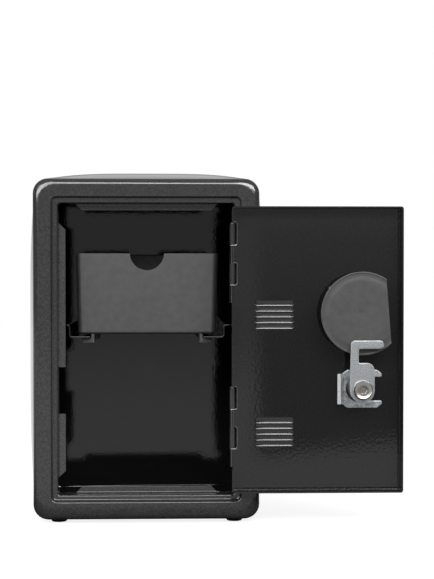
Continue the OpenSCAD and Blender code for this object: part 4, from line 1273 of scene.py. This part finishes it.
def slot_bead(low, high):
    """Fat edge that the coat forms along the cut sides of a hinge slot."""
    reach = HINGE.x + SLOT_REACH + BEAD_R
    line = rounded([(HINGE.x - 0.9, low - BEAD_R, 0), (reach, low - BEAD_R, 1.3),
                    (reach, high + BEAD_R, 1.3), (HINGE.x + 0.6, high + BEAD_R, 0)], 6)
    rings = []
    for i, point in enumerate(line):
        way = (line[min(i + 1, len(line) - 1)] - line[max(i - 1, 0)]).normalized()
        ring = []
        for k in range(BEAD_SIDES):
            out, deep = math.cos(math.tau * k / BEAD_SIDES), math.sin(math.tau * k / BEAD_SIDES)
            ring.append(Vector((point.x + BEAD_R * out * way.y, DOOR_IN + BEAD_SINK + BEAD_R * deep,
                                point.y - BEAD_R * out * way.x)))
        rings.append(ring)
    return build("slot_bead", loft(rings, first_cap=True, last_cap=True), solid=True)


def on_low_bead(face):
    """Whether a face is part of the bead along a slot's low side."""
    return any(abs(face.center.z / MM - low + BEAD_R) < 0.4 for low, _ in slots)


slots = [slot for top in hinge_tops.values() for slot in knuckle_slots(top)]
beads = [slot_bead(low, high) for low, high in slots]
# The beads take the paler cut-edge coat, a painted highlight.
slot_edges = dress(join("hinge_slot_edges", beads), COAT_EDGE_PAINTED_HIGHLIGHT, "door")
# The low side of each bead gets a near-white painted highlight.
paint_light_on_faces(slot_edges, COAT_LOW_EDGE_PAINTED_HIGHLIGHT, on_low_bead)

# %% [markdown]
# The slots' own rounded edges and the louvres' hoods have smoother finishes than the sheet, paler as a
# painted highlight on the edges and as painted light on the hoods. A face is picked for them by where it lies
# and which way it looks, so the pan stays one piece.

# %% Slot edges and hoods
# Share of a normal that looks across the sheet: a bend's faces lie between these.
BENT_MIN, BENT_MAX = 0.15, 0.97


def by_a_slot(face):
    """Whether a face is part of a rounded edge at a hinge slot."""
    x, y, z = face.center / MM
    beside = HINGE.x - 0.5 < x < HINGE.x + SLOT_REACH + 0.45 and y < DOOR_IN + 0.42
    level = any(top - HINGE_LEN - 0.6 < z < top + 1.7 for top in hinge_tops.values())
    return beside and level and BENT_MIN < abs(face.normal.y) < BENT_MAX


def on_a_hood(face):
    """Whether a face is part of a louvre's hood or of the rolled lip under it."""
    x, y, z = face.center / MM
    foot = -(LOUVRE_COUNT - 1) * LOUVRE_PITCH - 1
    level = any(foot < z - first < HOOD_TOP for first in first_slits.values())
    return LOUVRE_X[0] < x < LOUVRE_X[1] and level and y > DOOR_IN + 0.03


# Painted highlight on the slot edges, painted light on the hoods.
paint_light_on_faces(pan, COAT_EDGE_PAINTED_HIGHLIGHT, by_a_slot)
paint_light_on_faces(pan, COAT_HOOD_PAINTED_LIGHT, on_a_hood)
print("door pan's finishes:", len(pan.data.materials))

# %% [markdown]
# ## Locks on the door
# Turned and blanked pieces are easiest to draw flat, with their axis upright. So the pieces on the door have
# a drawing plane of their own: local X runs to the left of the view, Y runs up, and Z runs away from the
# camera, with zero on the door's outer face.

# %% Drawing plane on the door
def door_plane(axis):
    """Drawing plane with its origin on a joint's axis."""
    turn = Matrix(((-1, 0, 0), (0, 0, 1), (0, 1, 0))).to_4x4()
    return Matrix.Translation((axis.x, DOOR_OUT, axis.z)) @ turn


def depth_of(node):
    """Heights of a CAD node's near and far face on the drawing plane."""
    low, high = mm_box(node)
    return low.y - DOOR_OUT, high.y - DOOR_OUT


DIAL_PLANE = door_plane(DIAL)
LOCK_PLANE = door_plane(LOCK)
print("dial and lock planes at", [round(v, 2) for v in (*DIAL.xz, *LOCK.xz)], "mm")

# %% [markdown]
# ## Locking disc
# The moulded disc turns with the dial. Its flat lets the door open, and its round edge holds behind the
# stops. The mould leaves a raised bead round the edge, a soft step inside it, and a shallow sink at the
# middle, where the boss behind shrinks as it cools. The disc is turned, its flat is cut off, and a small
# nub is added to its edge. A faint round gate mark, where the plastic entered the mould, is too small for
# the disc's section, so it is a piece of its own, put on the surface where the photograph shows it.

# %% Locking disc
DISC_R = 21.85
DISC_FLAT = 13.8
DISC_TURN = 4.3
DISC_SHEET = 2.0
NUB_TURN = 38
NUB_HALF = 0.8
NECK_R = 4.95
NECK_END = 6.0
COLLAR_DEPTH = -1.85
TRIM_SIZE = 60
disc_near = depth_of("locking_disc")[0]
disc_far = disc_near + DISC_SHEET
# (radius, depth under the bead's crest), from the sink at the middle out to the bead.
DISC_MIDDLE = [(0, 0.62), (1.2, 0.58), (2.4, 0.48)]
DISC_DISH = [(r, 0.42 - 0.1 * ease((r - 5) / 12)) for r in (4, 6, 9, 12, 15, 17)]
DISC_STEP = [(18.2, 0.34), (18.9, 0.48), (19.6, 0.5)]
disc_profile = [(r, disc_near + under) for r, under in DISC_MIDDLE + DISC_DISH + DISC_STEP]
disc_profile += [tuple(p) for p in rounded([
    (20.9, disc_near + 0.5, 0), (21.1, disc_near, 0.2), (DISC_R, disc_near, 0.35), (DISC_R, disc_far, 0.3),
    (6, disc_far, 0)], 4)]
disc_profile += [(NECK_R + 2, disc_far), (NECK_R + 2, COLLAR_DEPTH), (NECK_R, COLLAR_DEPTH),
                 (NECK_R, NECK_END), (0, NECK_END)]
disc = turned("locking_disc_moulding", disc_profile, DIAL_PLANE, 120)

trim_outline = (
    (-TRIM_SIZE, -TRIM_SIZE), (-DISC_FLAT, -TRIM_SIZE), (-DISC_FLAT, TRIM_SIZE), (-TRIM_SIZE, TRIM_SIZE))
trim_rings = [[Vector((x, y, z)) for x, y in trim_outline] for z in (disc_near - 1, disc_far + 1)]
trim_plane = DIAL_PLANE @ Matrix.Rotation(math.radians(-DISC_TURN), 4, "Z")
carve(disc, [build("trim", loft(trim_rings, first_cap=True, last_cap=True), trim_plane, solid=True)])

nub_plane = DIAL_PLANE @ Matrix.Rotation(math.radians(NUB_TURN), 4, "Z")
nub_outline = rounded([(DISC_R - 0.6, -NUB_HALF, 0), (DISC_R + 0.5, -NUB_HALF, 0.3),
                       (DISC_R + 0.5, NUB_HALF, 0.3), (DISC_R - 0.6, NUB_HALF, 0)], 3)
nub = flat_part("nub", [nub_outline], disc_near + 0.4, disc_far - 0.4, 0.2, nub_plane)
disc = dress(join("locking_disc_moulding", [disc, nub]), ABS_GREY, "dial",
             ["locking_disc"], bevel=0.12)


def on_the_bead(face):
    """Whether a face slopes and lies near the disc's front, as the bead's sides do."""
    return 0.1 < abs(face.normal.y) < 0.93 and face.center.y < (DOOR_OUT + disc_near + 0.4) * MM


# The bead's sloping faces get the paler plastic, a painted highlight.
paint_light_on_faces(disc, ABS_BEAD_PAINTED_HIGHLIGHT, on_the_bead)

# %% Gate mark
GATE_PROFILE = [(0, 0.0), (0.7, -0.01), (1.0, -0.05), (1.3, 0.0), (1.35, 0.25), (0, 0.25)]
gate_at = on_surface(*IMAGE_POINTS["gate_mark"], disc)
gate_place = Matrix.Translation(gate_at) @ DIAL_PLANE.to_3x3().to_4x4()
dress(turned("gate_mark", GATE_PROFILE, gate_place, 32), ABS_GREY, "dial")

# %% [markdown]
# ## Cam, washer and screw
# The cam is a flat blank of plated steel with a square hole, an arm and a hook, so an outline with a
# thickness is all it needs. Blanking rolls the edges over, so the rim is rounded, and it has a paler finish
# of its own as a painted highlight. A dished screw holds the cam on the plug.

# %% Cam
cam_near, cam_far = depth_of("cam")
# How far the real cam sits off the lock's axis, in the photograph.
CAM_X, CAM_Z = 0.3, -0.3
CAM_HALF = 6.15
CAM_ROUND = 6.65
ARM_IN = CAM_HALF - 4.0
ARM_LOW = 14
HOOK_END = CAM_HALF - 17.1
CAM_TOP = 25.7
HOOK_LOW = CAM_TOP - 4.3
SQUARE_HALF = 3.05
# Faces that look less than this across the sheet belong to the rim.
CAM_FLAT = 0.93
cam_place = LOCK_PLANE @ Matrix.Translation((CAM_X, CAM_Z, 0))
cam_outline = rounded([
    (-CAM_HALF, -CAM_ROUND, CAM_ROUND - 0.6), (CAM_ROUND + 0.25, -CAM_ROUND, CAM_ROUND - 0.2),
    (CAM_HALF, CAM_TOP, 2.2), (HOOK_END, CAM_TOP, 2.1), (HOOK_END, HOOK_LOW, 2.1),
    (ARM_IN, HOOK_LOW, 0.7), (ARM_IN, ARM_LOW, 0.7), (-CAM_HALF, ARM_LOW, 4.0)], 9)
square_hole = [(-SQUARE_HALF, -SQUARE_HALF), (SQUARE_HALF, -SQUARE_HALF), (SQUARE_HALF, SQUARE_HALF),
               (-SQUARE_HALF, SQUARE_HALF)]
cam = flat_part("cam_blank", [cam_outline, square_hole], cam_near, cam_far, 0.36, cam_place)
dress(cam, ZINC, "lock", ["cam"])
# The rim gets the pale zinc, a painted highlight.
paint_light_on_faces(cam, PALE_ZINC_PAINTED_LIGHT, lambda face: abs(face.normal.y) < CAM_FLAT)

# %% [markdown]
# The washer is a plain turned ring. The screw's head is dished round a hexagon socket, and the dish shows
# dark and bright rings as a mirror would. It is turned too, and its socket's radius follows a hexagon.

# %% Washer and screw
washer_near, washer_far = depth_of("cam_washer")
WASHER_BORE_R = 2.0
WASHER_R = 5.2
washer = turned("cam_washer_ring", rounded([
    (WASHER_BORE_R, washer_far, 0), (WASHER_BORE_R, washer_near + 0.2, 0.1), (4.6, washer_near, 0.3),
    (WASHER_R, washer_near + 0.15, 0.2), (WASHER_R, washer_far, 0)], 4), cam_place, 64)
dress(washer, ZINC, "lock", ["cam_washer"])

screw_near = depth_of("cam_screw")[0]
HEAD_R = 4.95
HEAD_BACK = washer_near - 0.02
BOWL_R = 4.25
SOCKET_R = 2.1
SOCKET_DEPTH = 1.9
SHANK_R = 1.95
SHANK_END = -13.5


def bowl_depth(r):
    """Depth of the head's dish at a radius."""
    return 0.04 + 0.34 * ease((BOWL_R + 0.25 - r) / 1.75)


screw_profile = [(0, screw_near + SOCKET_DEPTH), (SOCKET_R - 0.15, screw_near + SOCKET_DEPTH),
                 (SOCKET_R, screw_near + 1.0)]
bowl_radii = (2.25, 2.5, 2.75, 3.0, 3.25, 3.5, 3.75, 4.0, BOWL_R)
screw_profile += [(r, screw_near + bowl_depth(r)) for r in bowl_radii]
screw_profile += [tuple(p) for p in rounded([
    (BOWL_R + 0.08, screw_near, 0), (BOWL_R + 0.2, screw_near, 0.08), (HEAD_R, screw_near + 0.75, 0.4),
    (HEAD_R, HEAD_BACK, 0.12), (SHANK_R, HEAD_BACK, 0), (SHANK_R, SHANK_END, 0), (0, SHANK_END, 0)], 5)]


def hex_socket(radius, height, angle):
    """Makes the screw's socket six-sided."""
    if radius > SOCKET_R or height > screw_near + SOCKET_DEPTH + 0.1:
        return radius
    return radius * math.cos(math.pi / 6) / math.cos((angle % (math.pi / 3)) - math.pi / 6)


screw = turned("cam_screw_dished", screw_profile, cam_place, 72, hex_socket)
dress(screw, NICKEL, "lock", ["cam_screw"])

# %% [markdown]
# ## Clip and lock body
# A horseshoe of galvanised strip slides into two grooves of the lock body and holds it to the door. Its
# closed end is bent up as a tab for the thumb, whose cut end and bend get painted light. Bending a finished
# flat mesh would stretch its corners, so the plate is an outline laid flat, and the tab is its own section
# swept across.

# %% Clip
clip_near, clip_far = depth_of("lock_clip")
CLIP_SHEET = 0.9
CLIP_DROP = 0.8
CLIP_HOLE = 6.8
HOLE_X = 0.6
CLIP_SLOT = 6.3
CLIP_HALF = CLIP_SLOT + 3.75
TIP_X = -11.6
BEND_X = 9.3
TAB_HALF = 8.0
TAB_END = BEND_X + 2.9
CHAMFER = 2.6
mouth_angle = math.degrees(math.asin(CLIP_SLOT / CLIP_HOLE))
hole_arc = [(p.x, p.y, 0) for p in arc((HOLE_X, 0), CLIP_HOLE, -180 + mouth_angle, 180 - mouth_angle, 48)]
clip_corners = [
    (TIP_X + CHAMFER, -CLIP_HALF, 0.5), (BEND_X - CHAMFER, -CLIP_HALF, 0.4), (BEND_X, -TAB_HALF, 0.3),
    (BEND_X, TAB_HALF, 0.3), (BEND_X - CHAMFER, CLIP_HALF, 0.4), (TIP_X + CHAMFER, CLIP_HALF, 0.5),
    (TIP_X, CLIP_HALF - 2, 0.5), (TIP_X, CLIP_SLOT, 0.7)]
clip_corners += hole_arc[::-1]
clip_corners += [(TIP_X, -CLIP_SLOT, 0.7), (TIP_X, 2 - CLIP_HALF, 0.5)]
clip_place = LOCK_PLANE @ Matrix.Translation((0, -CLIP_DROP, 0))
clip_top = clip_far - CLIP_SHEET
plate = flat_part("clip_plate", [rounded(clip_corners, 4)], clip_top, clip_far, 0.25, clip_place)

tab_face = clip_near + 0.5
tab_section = rounded([
    (BEND_X - 0.6, clip_far, 0), (BEND_X - 0.6, clip_top, 0), (BEND_X + 0.2, clip_top, 0.5),
    (BEND_X + 0.9, tab_face + 0.35, 0.5), (TAB_END, tab_face, 0.3), (TAB_END, tab_face + CLIP_SHEET, 0.3),
    (BEND_X + 1.5, tab_face + CLIP_SHEET + 0.3, 0.9), (BEND_X + 0.8, clip_far, 0.5)], 5)
tab_rings = [[Vector((x, y, z)) for x, z in tab_section] for y in (-TAB_HALF, TAB_HALF)]
tab = build("clip_tab", loft(tab_rings, first_cap=True, last_cap=True), clip_place, solid=True)
clip = dress(join("horseshoe_clip", [plate, tab]), GALVANISED, "door", ["lock_clip"], bevel=0.1)
# The clip's rims get the pale zinc as a painted highlight, and the tab past the bend gets it as painted light
# where it faces away from the lights.
painted_light_past = LOCK.x - BEND_X - 1.0
paint_light_on_faces(clip, PALE_ZINC_PAINTED_LIGHT, lambda face: abs(face.normal.y) < 0.96 or face.center.x < painted_light_past * MM)

# %% [markdown]
# The lock body is a die casting: a round barrel with two flats, grooved for the clip, with a bezel on the
# door's outer side. Its outline changes from round to flat-sided along its length, so it is lofted through
# rings and not turned. The plug, wafers and springs inside it are kept from the CAD.

# %% Lock body
body_near, body_far = depth_of("lock_housing")
BARREL_R = 8.0
BARREL_FLAT = 6.7
GROOVE_FLAT = 5.52
GROOVE_R = 6.6
COLLAR_R = 6.9
PLUG_BORE = 5.5
BODY_SIDES = 96
groove = (clip_top - 0.05, clip_far + 0.05)


def barrel_ring(flat, height, radius=BARREL_R):
    """Ring of the barrel's outline, a circle cut off at two flats."""
    ring = []
    for k in range(BODY_SIDES):
        angle = math.tau * k / BODY_SIDES
        reach = min(radius, flat / max(abs(math.sin(angle)), 1e-6))
        ring.append(Vector((reach * math.cos(angle), reach * math.sin(angle), height)))
    return ring


def bore_ring(radius, height):
    """Round ring with as many points as the barrel's."""
    return barrel_ring(BARREL_R * 2, height, radius)


body_rings = [
    bore_ring(PLUG_BORE, body_far), bore_ring(PLUG_BORE, body_near), bore_ring(PLUG_BORE + 0.7, body_near),
    barrel_ring(BARREL_FLAT - 0.4, body_near, COLLAR_R - 0.4),
    barrel_ring(BARREL_FLAT, body_near + 0.4, COLLAR_R), barrel_ring(BARREL_FLAT, groove[0], COLLAR_R),
    barrel_ring(GROOVE_FLAT, groove[0], GROOVE_R), barrel_ring(GROOVE_FLAT, groove[1], GROOVE_R),
    barrel_ring(BARREL_FLAT, groove[1]), barrel_ring(BARREL_FLAT, 0)]
bezel = rounded([(9.5, 0, 0.2), (9.5, 1.2, 0.4), (8.6, body_far, 0.5), (PLUG_BORE + 0.4, body_far, 0.2)], 4)
body_rings += [bore_ring(r, z) for r, z in bezel]
body_rings.append(body_rings[0])
housing = build("lock_body", loft(body_rings), LOCK_PLANE, solid=True)
dress(housing, DIE_CAST, "door", ["lock_housing"])
keep_node("lock_plug", BRASS, 0.1)
keep_node("wafers", BRASS)
keep_node("wafer_springs", NICKEL)

# %% [markdown]
# ## Dial
# On the door's outer side a fluted knob turns over a fixed plate. The photograph hides it, so it follows
# what such a safe has: plain numbers from 0 to 90 on the knob's skirt, and one mark on the plate. The plate
# is round all through and is turned, with a shallow groove near its edge.

# %% Dial plate
plate_near, plate_far = depth_of("dial_plate")
PLATE_R = 20.5
PLATE_BORE_R = NECK_R + 0.05
RIM_GROOVE = 0.3
plate_profile = rounded([
    (PLATE_BORE_R, plate_near, 0), (PLATE_BORE_R, plate_far, 0.2), (18.2, plate_far, 0.15),
    (18.6, plate_far - RIM_GROOVE, 0.1), (19.1, plate_far - RIM_GROOVE, 0.1), (19.5, plate_far, 0.1),
    (PLATE_R, plate_far, 0.4), (PLATE_R, 0, 0), (6, 0, 0), (6, plate_near, 0)], 4)
dial_plate = turned("dial_plate_ring", plate_profile, DIAL_PLANE, 96)
dress(dial_plate, ABS_BLACK, "door", ["dial_plate"])

# %% [markdown]
# The knob is one moulding: a sloping skirt for the numbers and a grip with scallops for the fingers. The
# scallops are the turned section's own radius, drawn in and out, so they stay part of one smooth skin. A
# nickel cap closes the hollow at its middle.

# %% Dial knob
knob_near, knob_far = depth_of("dial_knob")
SKIRT_R = 17.0
GRIP_R = 11.0
CAP_R = 5.4
HOLLOW = 1.3
FLUTES = 24
FLUTE_DEPTH = 0.55
knob_profile = rounded([
    (0, knob_near, 0), (SKIRT_R, knob_near, 0.15), (SKIRT_R, knob_near + 1.1, 0.3),
    (15.6, knob_near + 3.1, 0.5), (GRIP_R + 0.9, knob_near + 3.9, 0.9), (GRIP_R, knob_near + 5.4, 0.5),
    (GRIP_R, knob_far, 0.9), (7.0, knob_far, 0.4), (5.6, knob_far - HOLLOW, 0.2),
    (0, knob_far - HOLLOW, 0)], 5)


def fluted(radius, height, angle):
    """Scallops round the grip, deepest between its foot and its crown."""
    if radius < 6.9 or height < knob_near + 4.6:
        return radius
    return radius - FLUTE_DEPTH * (radius / GRIP_R) * (0.5 - 0.5 * math.cos(FLUTES * angle)) ** 2


knob = turned("dial_knob_fluted", knob_profile, DIAL_PLANE, 360, fluted)
dress(knob, ABS_BLACK, "dial", ["dial_knob"])
cap_near, cap_far = depth_of("dial_cap")
cap_profile = rounded([(0, cap_near, 0), (CAP_R, cap_near, 0.1), (CAP_R, cap_far, 0.5), (4.4, cap_far, 0.2),
                       (3.9, cap_far - 0.25, 0.2), (0, cap_far - 0.25, 0)], 4)
dress(turned("dial_cap_disc", cap_profile, DIAL_PLANE, 72), NICKEL, "dial", ["dial_cap"])

# %% [markdown]
# Numbers and ticks are screen-printed, a film too thin to see from the side. Text objects turned into thin
# meshes stand just proud of the skirt, so they need no image and stay sharp from close by.

# %% Numbers and ticks
TICKS = 50
TICKS_A_NUMBER = 5
NUMBER_SIZE = 2.7
INK = 0.05
TICK_HALF = 0.14
LONG_TICK, SHORT_TICK = 1.25, 0.8
POINTER_TIP = PLATE_R - 3.0
POINTER_FOOT = PLATE_R - 0.6


def flat_text(body, size, place):
    """Mesh of a number that stands just proud of the place's XY plane."""
    curve = bpy.data.curves.new("number", "FONT")
    curve.body = body
    curve.size = size
    curve.align_x = "CENTER"
    curve.align_y = "CENTER"
    curve.extrude = INK
    mesh = mesh_of("number", curve)
    mesh.transform(Matrix.Scale(MM, 4) @ place)
    return add_object("number", mesh)


marks = []
skirt_slope = math.atan2(0.8, 3.8)
edge_slope = math.atan2(2.0, 1.4)
tilt = Matrix.Translation((0, 13.75, knob_near + 3.52)) @ Matrix.Rotation(-skirt_slope, 4, "X")
lean = Matrix.Translation((0, 16.2, knob_near + 2.2)) @ Matrix.Rotation(-edge_slope, 4, "X")
for step in range(TICKS):
    turn = DIAL_PLANE @ Matrix.Rotation(-math.tau * step / TICKS, 4, "Z")
    numbered = step % TICKS_A_NUMBER == 0
    if numbered:
        marks.append(flat_text(str(step * 2), NUMBER_SIZE, turn @ tilt))
    length = LONG_TICK if numbered else SHORT_TICK
    tick = [(-TICK_HALF, -length), (TICK_HALF, -length), (TICK_HALF, length), (-TICK_HALF, length)]
    marks.append(flat_part("tick", [tick], -INK, INK + 0.01, 0.0, turn @ lean))
dress(join("dial_numbers", marks), WHITE_INK, "dial")
pointer = [(-1.0, POINTER_FOOT), (1.0, POINTER_FOOT), (0, POINTER_TIP)]
pointer_mark = flat_part("dial_pointer", [pointer], plate_far - INK, plate_far + INK, 0.0, DIAL_PLANE)
dress(pointer_mark, WHITE_INK, "door")
keep_node("knob_screw", NICKEL, 0.08)
keep_node("wave_washer", NICKEL)

# %% [markdown]
# ## Key
# A flat stamped key stands in the lock: a toothed blade inside the plug and a round bow with a ring hole.
# Both are blanks, so each is an outline with a thickness. The cuts are plain and follow no real key.

# %% Key
KEY_T = 2.0
BOW_T = KEY_T + 0.4
BOW_R = 10.5
RING_HOLE_R = 1.9
BLADE_HALF = 3.3
SHOULDER_HALF = 4.3
CUTS = 5
CUT_PITCH = 2
key_low, key_high = depth_of("key")
bow_z = key_high - BOW_R
key_plane = LOCK_PLANE @ Matrix(((0, 0, 1), (1, 0, 0), (0, 1, 0))).to_4x4()
bitting = []
for i in range(CUTS):
    z = -2.2 - (CUTS - 1 - i) * CUT_PITCH
    cut = 0.5 + ((CUTS - 1 - i) * 7 % 4) * 0.35
    bitting += [(-BLADE_HALF, z - 0.9), (cut - BLADE_HALF, z - 0.35), (cut - BLADE_HALF, z + 0.35),
                (-BLADE_HALF, z + 0.9)]
blade = [(SHOULDER_HALF, 5.6), (SHOULDER_HALF, 2.4), (BLADE_HALF, 2.4), (BLADE_HALF, key_low + 1),
         (BLADE_HALF - 1, key_low), (1 - BLADE_HALF, key_low), (-BLADE_HALF, key_low + 1)]
blade += bitting + [(-BLADE_HALF, 2.4), (-SHOULDER_HALF, 2.4), (-SHOULDER_HALF, 5.6)]
bow = arc((0, bow_z), BOW_R, 0, 356, 71)
ring_hole = arc((0, bow_z + BOW_R - 4.4), RING_HOLE_R, 0, 350, 24)
key = join("flat_key", [
    flat_part("blade", [blade], -KEY_T / 2, KEY_T / 2, 0.15, key_plane),
    flat_part("bow", [bow, ring_hole], -BOW_T / 2, BOW_T / 2, 0.5, key_plane)])
dress(key, NICKEL, "key", ["key"])

# %% [markdown]
# ## Tray
# The coin tray is a thin moulding with drafted walls, rounded corners and a thumb notch in its front. It
# hangs between the rails: ribs stand on the lower legs, and four hooks reach round under them. A box with a
# bevel would lose the draft, so the walls are lofted through rings from the outer floor over the rim and
# down to the inner floor, and the notch is cut by a short cylinder.

# %% Tray shell
TRAY_LOW, TRAY_HIGH = mm_box("tray")
TRAY_WALL = 1.6
TRAY_DRAFT = 1.2
TRAY_CORNER_R = 3.2
# How far in from the wall the section's floor lines end, to be closed by a cap.
CAP_INSET = 20
NOTCH_R = 9.2
tray_half = TRAY_HIGH.x
tray_base = run_z + 1.2
tray_front, tray_back = TRAY_LOW.y, TRAY_HIGH.y


def tray_ring(inset, z):
    """Outline of the tray some way in from its outer wall, at one height."""
    half = tray_half - TRAY_DRAFT * (1 - (z - tray_base) / (TRAY_HIGH.z - tray_base)) - inset
    radius = max(TRAY_CORNER_R - inset, 1.4)
    corners = [(-half, tray_front + inset, radius), (half, tray_front + inset, radius),
               (half, tray_back - inset, radius), (-half, tray_back - inset, radius)]
    return [Vector((x, y, z)) for x, y in rounded(corners)]


wall_section = rounded([
    (CAP_INSET, tray_base, 0), (0, tray_base, 1.5), (0, TRAY_HIGH.z, 0.5), (TRAY_WALL, TRAY_HIGH.z, 0.5),
    (TRAY_WALL, tray_base + TRAY_WALL, 1.2), (CAP_INSET, tray_base + TRAY_WALL, 0)], 5)
tray_rings = [tray_ring(inset, z) for inset, z in wall_section]
tray = build("tray_moulding", loft(tray_rings, first_cap=True, last_cap=True), solid=True)
bite_place = Matrix.Translation((0, 0, TRAY_HIGH.z)) @ Matrix.Rotation(math.radians(90), 4, "X")
bite_profile = [(0, -tray_front - 3), (NOTCH_R, -tray_front - 3), (NOTCH_R, -tray_front + 3),
                (0, -tray_front + 3)]
carve(tray, [turned("bite", bite_profile, bite_place, 96)])
print("tray", round(2 * tray_half, 1), "mm wide, notch", 2 * NOTCH_R, "mm")

# %% Tray ribs and hooks
RIB_X = 33.2
RIB_W = 1.5
STEM_OUT = 30.2
STEM_W = 1.8
HOOK_W = 5.0
HOOK_H = 2.6
HOOK_LEN = 9.0
# Ribs and stems reach this far into the tray's floor, so that they hold to it.
ROOT = 0.8
hook_top = run_z - RAIL_SHEET - 0.3
tray_parts = [tray]
for side in (-1, 1):
    rib = rounded([(RIB_X, run_z + 0.3, 0.4), (RIB_X + RIB_W, run_z + 0.3, 0.4),
                   (RIB_X + RIB_W, tray_base + ROOT, 0), (RIB_X, tray_base + ROOT, 0)], 4)
    hook_outline = rounded([
        (STEM_OUT - STEM_W, hook_top - HOOK_H, 0.5), (STEM_OUT + HOOK_W, hook_top - HOOK_H, 0.5),
        (STEM_OUT + HOOK_W, hook_top, 0.4), (STEM_OUT, hook_top, 0.3), (STEM_OUT, tray_base + ROOT, 0),
        (STEM_OUT - STEM_W, tray_base + ROOT, 0)], 4)
    place = Matrix(((side, 0, 0), (0, 0, 1), (0, 1, 0))).to_4x4()
    tray_parts.append(flat_part("rib", [rib], tray_front + 3, tray_back - 3, 0.2, place))
    for y in (tray_front + 1, tray_back - 1 - HOOK_LEN):
        tray_parts.append(flat_part("hook", [hook_outline], y, y + HOOK_LEN, 0.3, place))
tray = join("tray_moulding", tray_parts)
dress(tray, TRAY_GREY, "tray", ["tray"], bevel=0.25)

# %% [markdown]
# ## How well it fits the photograph
# The last cells look at the finished pieces through the camera. They print how far each named thing shows
# from its point in the photograph, and how far the outer edges of the whole are off.

# %% What the camera sees
graph = bpy.context.evaluated_depsgraph_get()
all_places, all_faces, owners = [], [], {}
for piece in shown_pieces():
    mesh = piece.evaluated_get(graph).to_mesh()
    start = len(all_places)
    places = [piece.matrix_world @ v.co for v in mesh.vertices]
    all_places += places
    all_faces += [tuple(start + i for i in face.vertices) for face in mesh.polygons]
    owners[piece.name] = places
whole = BVHTree.FromPolygons(all_places, all_faces)
# A ray stops this many metres short of its place, so that the place's own faces don't hide it.
STOP_SHORT = 0.0004


def visible(places):
    """Image points of the places that the camera sees."""
    shown = []
    for place in places:
        way = place - CAMERA_PLACE
        hit = whole.ray_cast(CAMERA_PLACE, way.normalized(), way.length - STOP_SHORT)
        if hit[0] is None:
            shown.append(pixel_of(place))
    return shown


def near_box(places, low, high):
    """The places that lie in a box given in millimetres."""
    return [p for p in places if all(low[i] * MM <= p[i] <= high[i] * MM for i in range(3))]


print(len(owners), "pieces,", len(all_places), "places")

# %% Measure and finish
everything = [pixel_of(p) for places in owners.values() for p in places]
xs, ys = [p[0] for p in everything], [p[1] for p in everything]
shown_edges = {"left": min(xs), "right": max(xs), "top": min(ys), "bottom": max(ys)}
measured = {name: {"off": round(shown_edges[name] - value, 2)} for name, value in IMAGE_EDGES.items()}
named_places = {
    "locking_disc": owners["locking_disc_moulding"],
    "cam": owners["cam_blank"],
    "cam_screw": owners["cam_screw_dished"],
    "lock_clip": owners["horseshoe_clip"],
    "tray": owners["tray_moulding"],
    "gate_mark": owners["gate_mark"],
}
for name, z in first_slits.items():
    low = (LOUVRE_X[0], DOOR_IN - 10, z - (LOUVRE_COUNT - 1) * LOUVRE_PITCH)
    high = (LOUVRE_X[1], DOOR_IN + 10, z + HOOD_TOP)
    named_places[name + "_louvres"] = near_box(owners["door_pan"], low, high)
for name, top in hinge_tops.items():
    low = (40, -60, top - HINGE_LEN)
    high = (50, -48, top)
    named_places[name + "_knuckles"] = near_box(owners[name + "_hinge_strap"], low, high)
for name, places in named_places.items():
    shown = visible(places)
    left, right = min(p[0] for p in shown), max(p[0] for p in shown)
    top, bottom = min(p[1] for p in shown), max(p[1] for p in shown)
    x, y = (left + right) / 2, (top + bottom) / 2
    at_x, at_y = IMAGE_POINTS[name]
    measured[name] = {"off_x": round(x - at_x, 2), "off_y": round(y - at_y, 2)}
    print(name, measured[name], "box", [round(v, 1) for v in (left, right, top, bottom)])
print({name: measured[name] for name in IMAGE_EDGES})
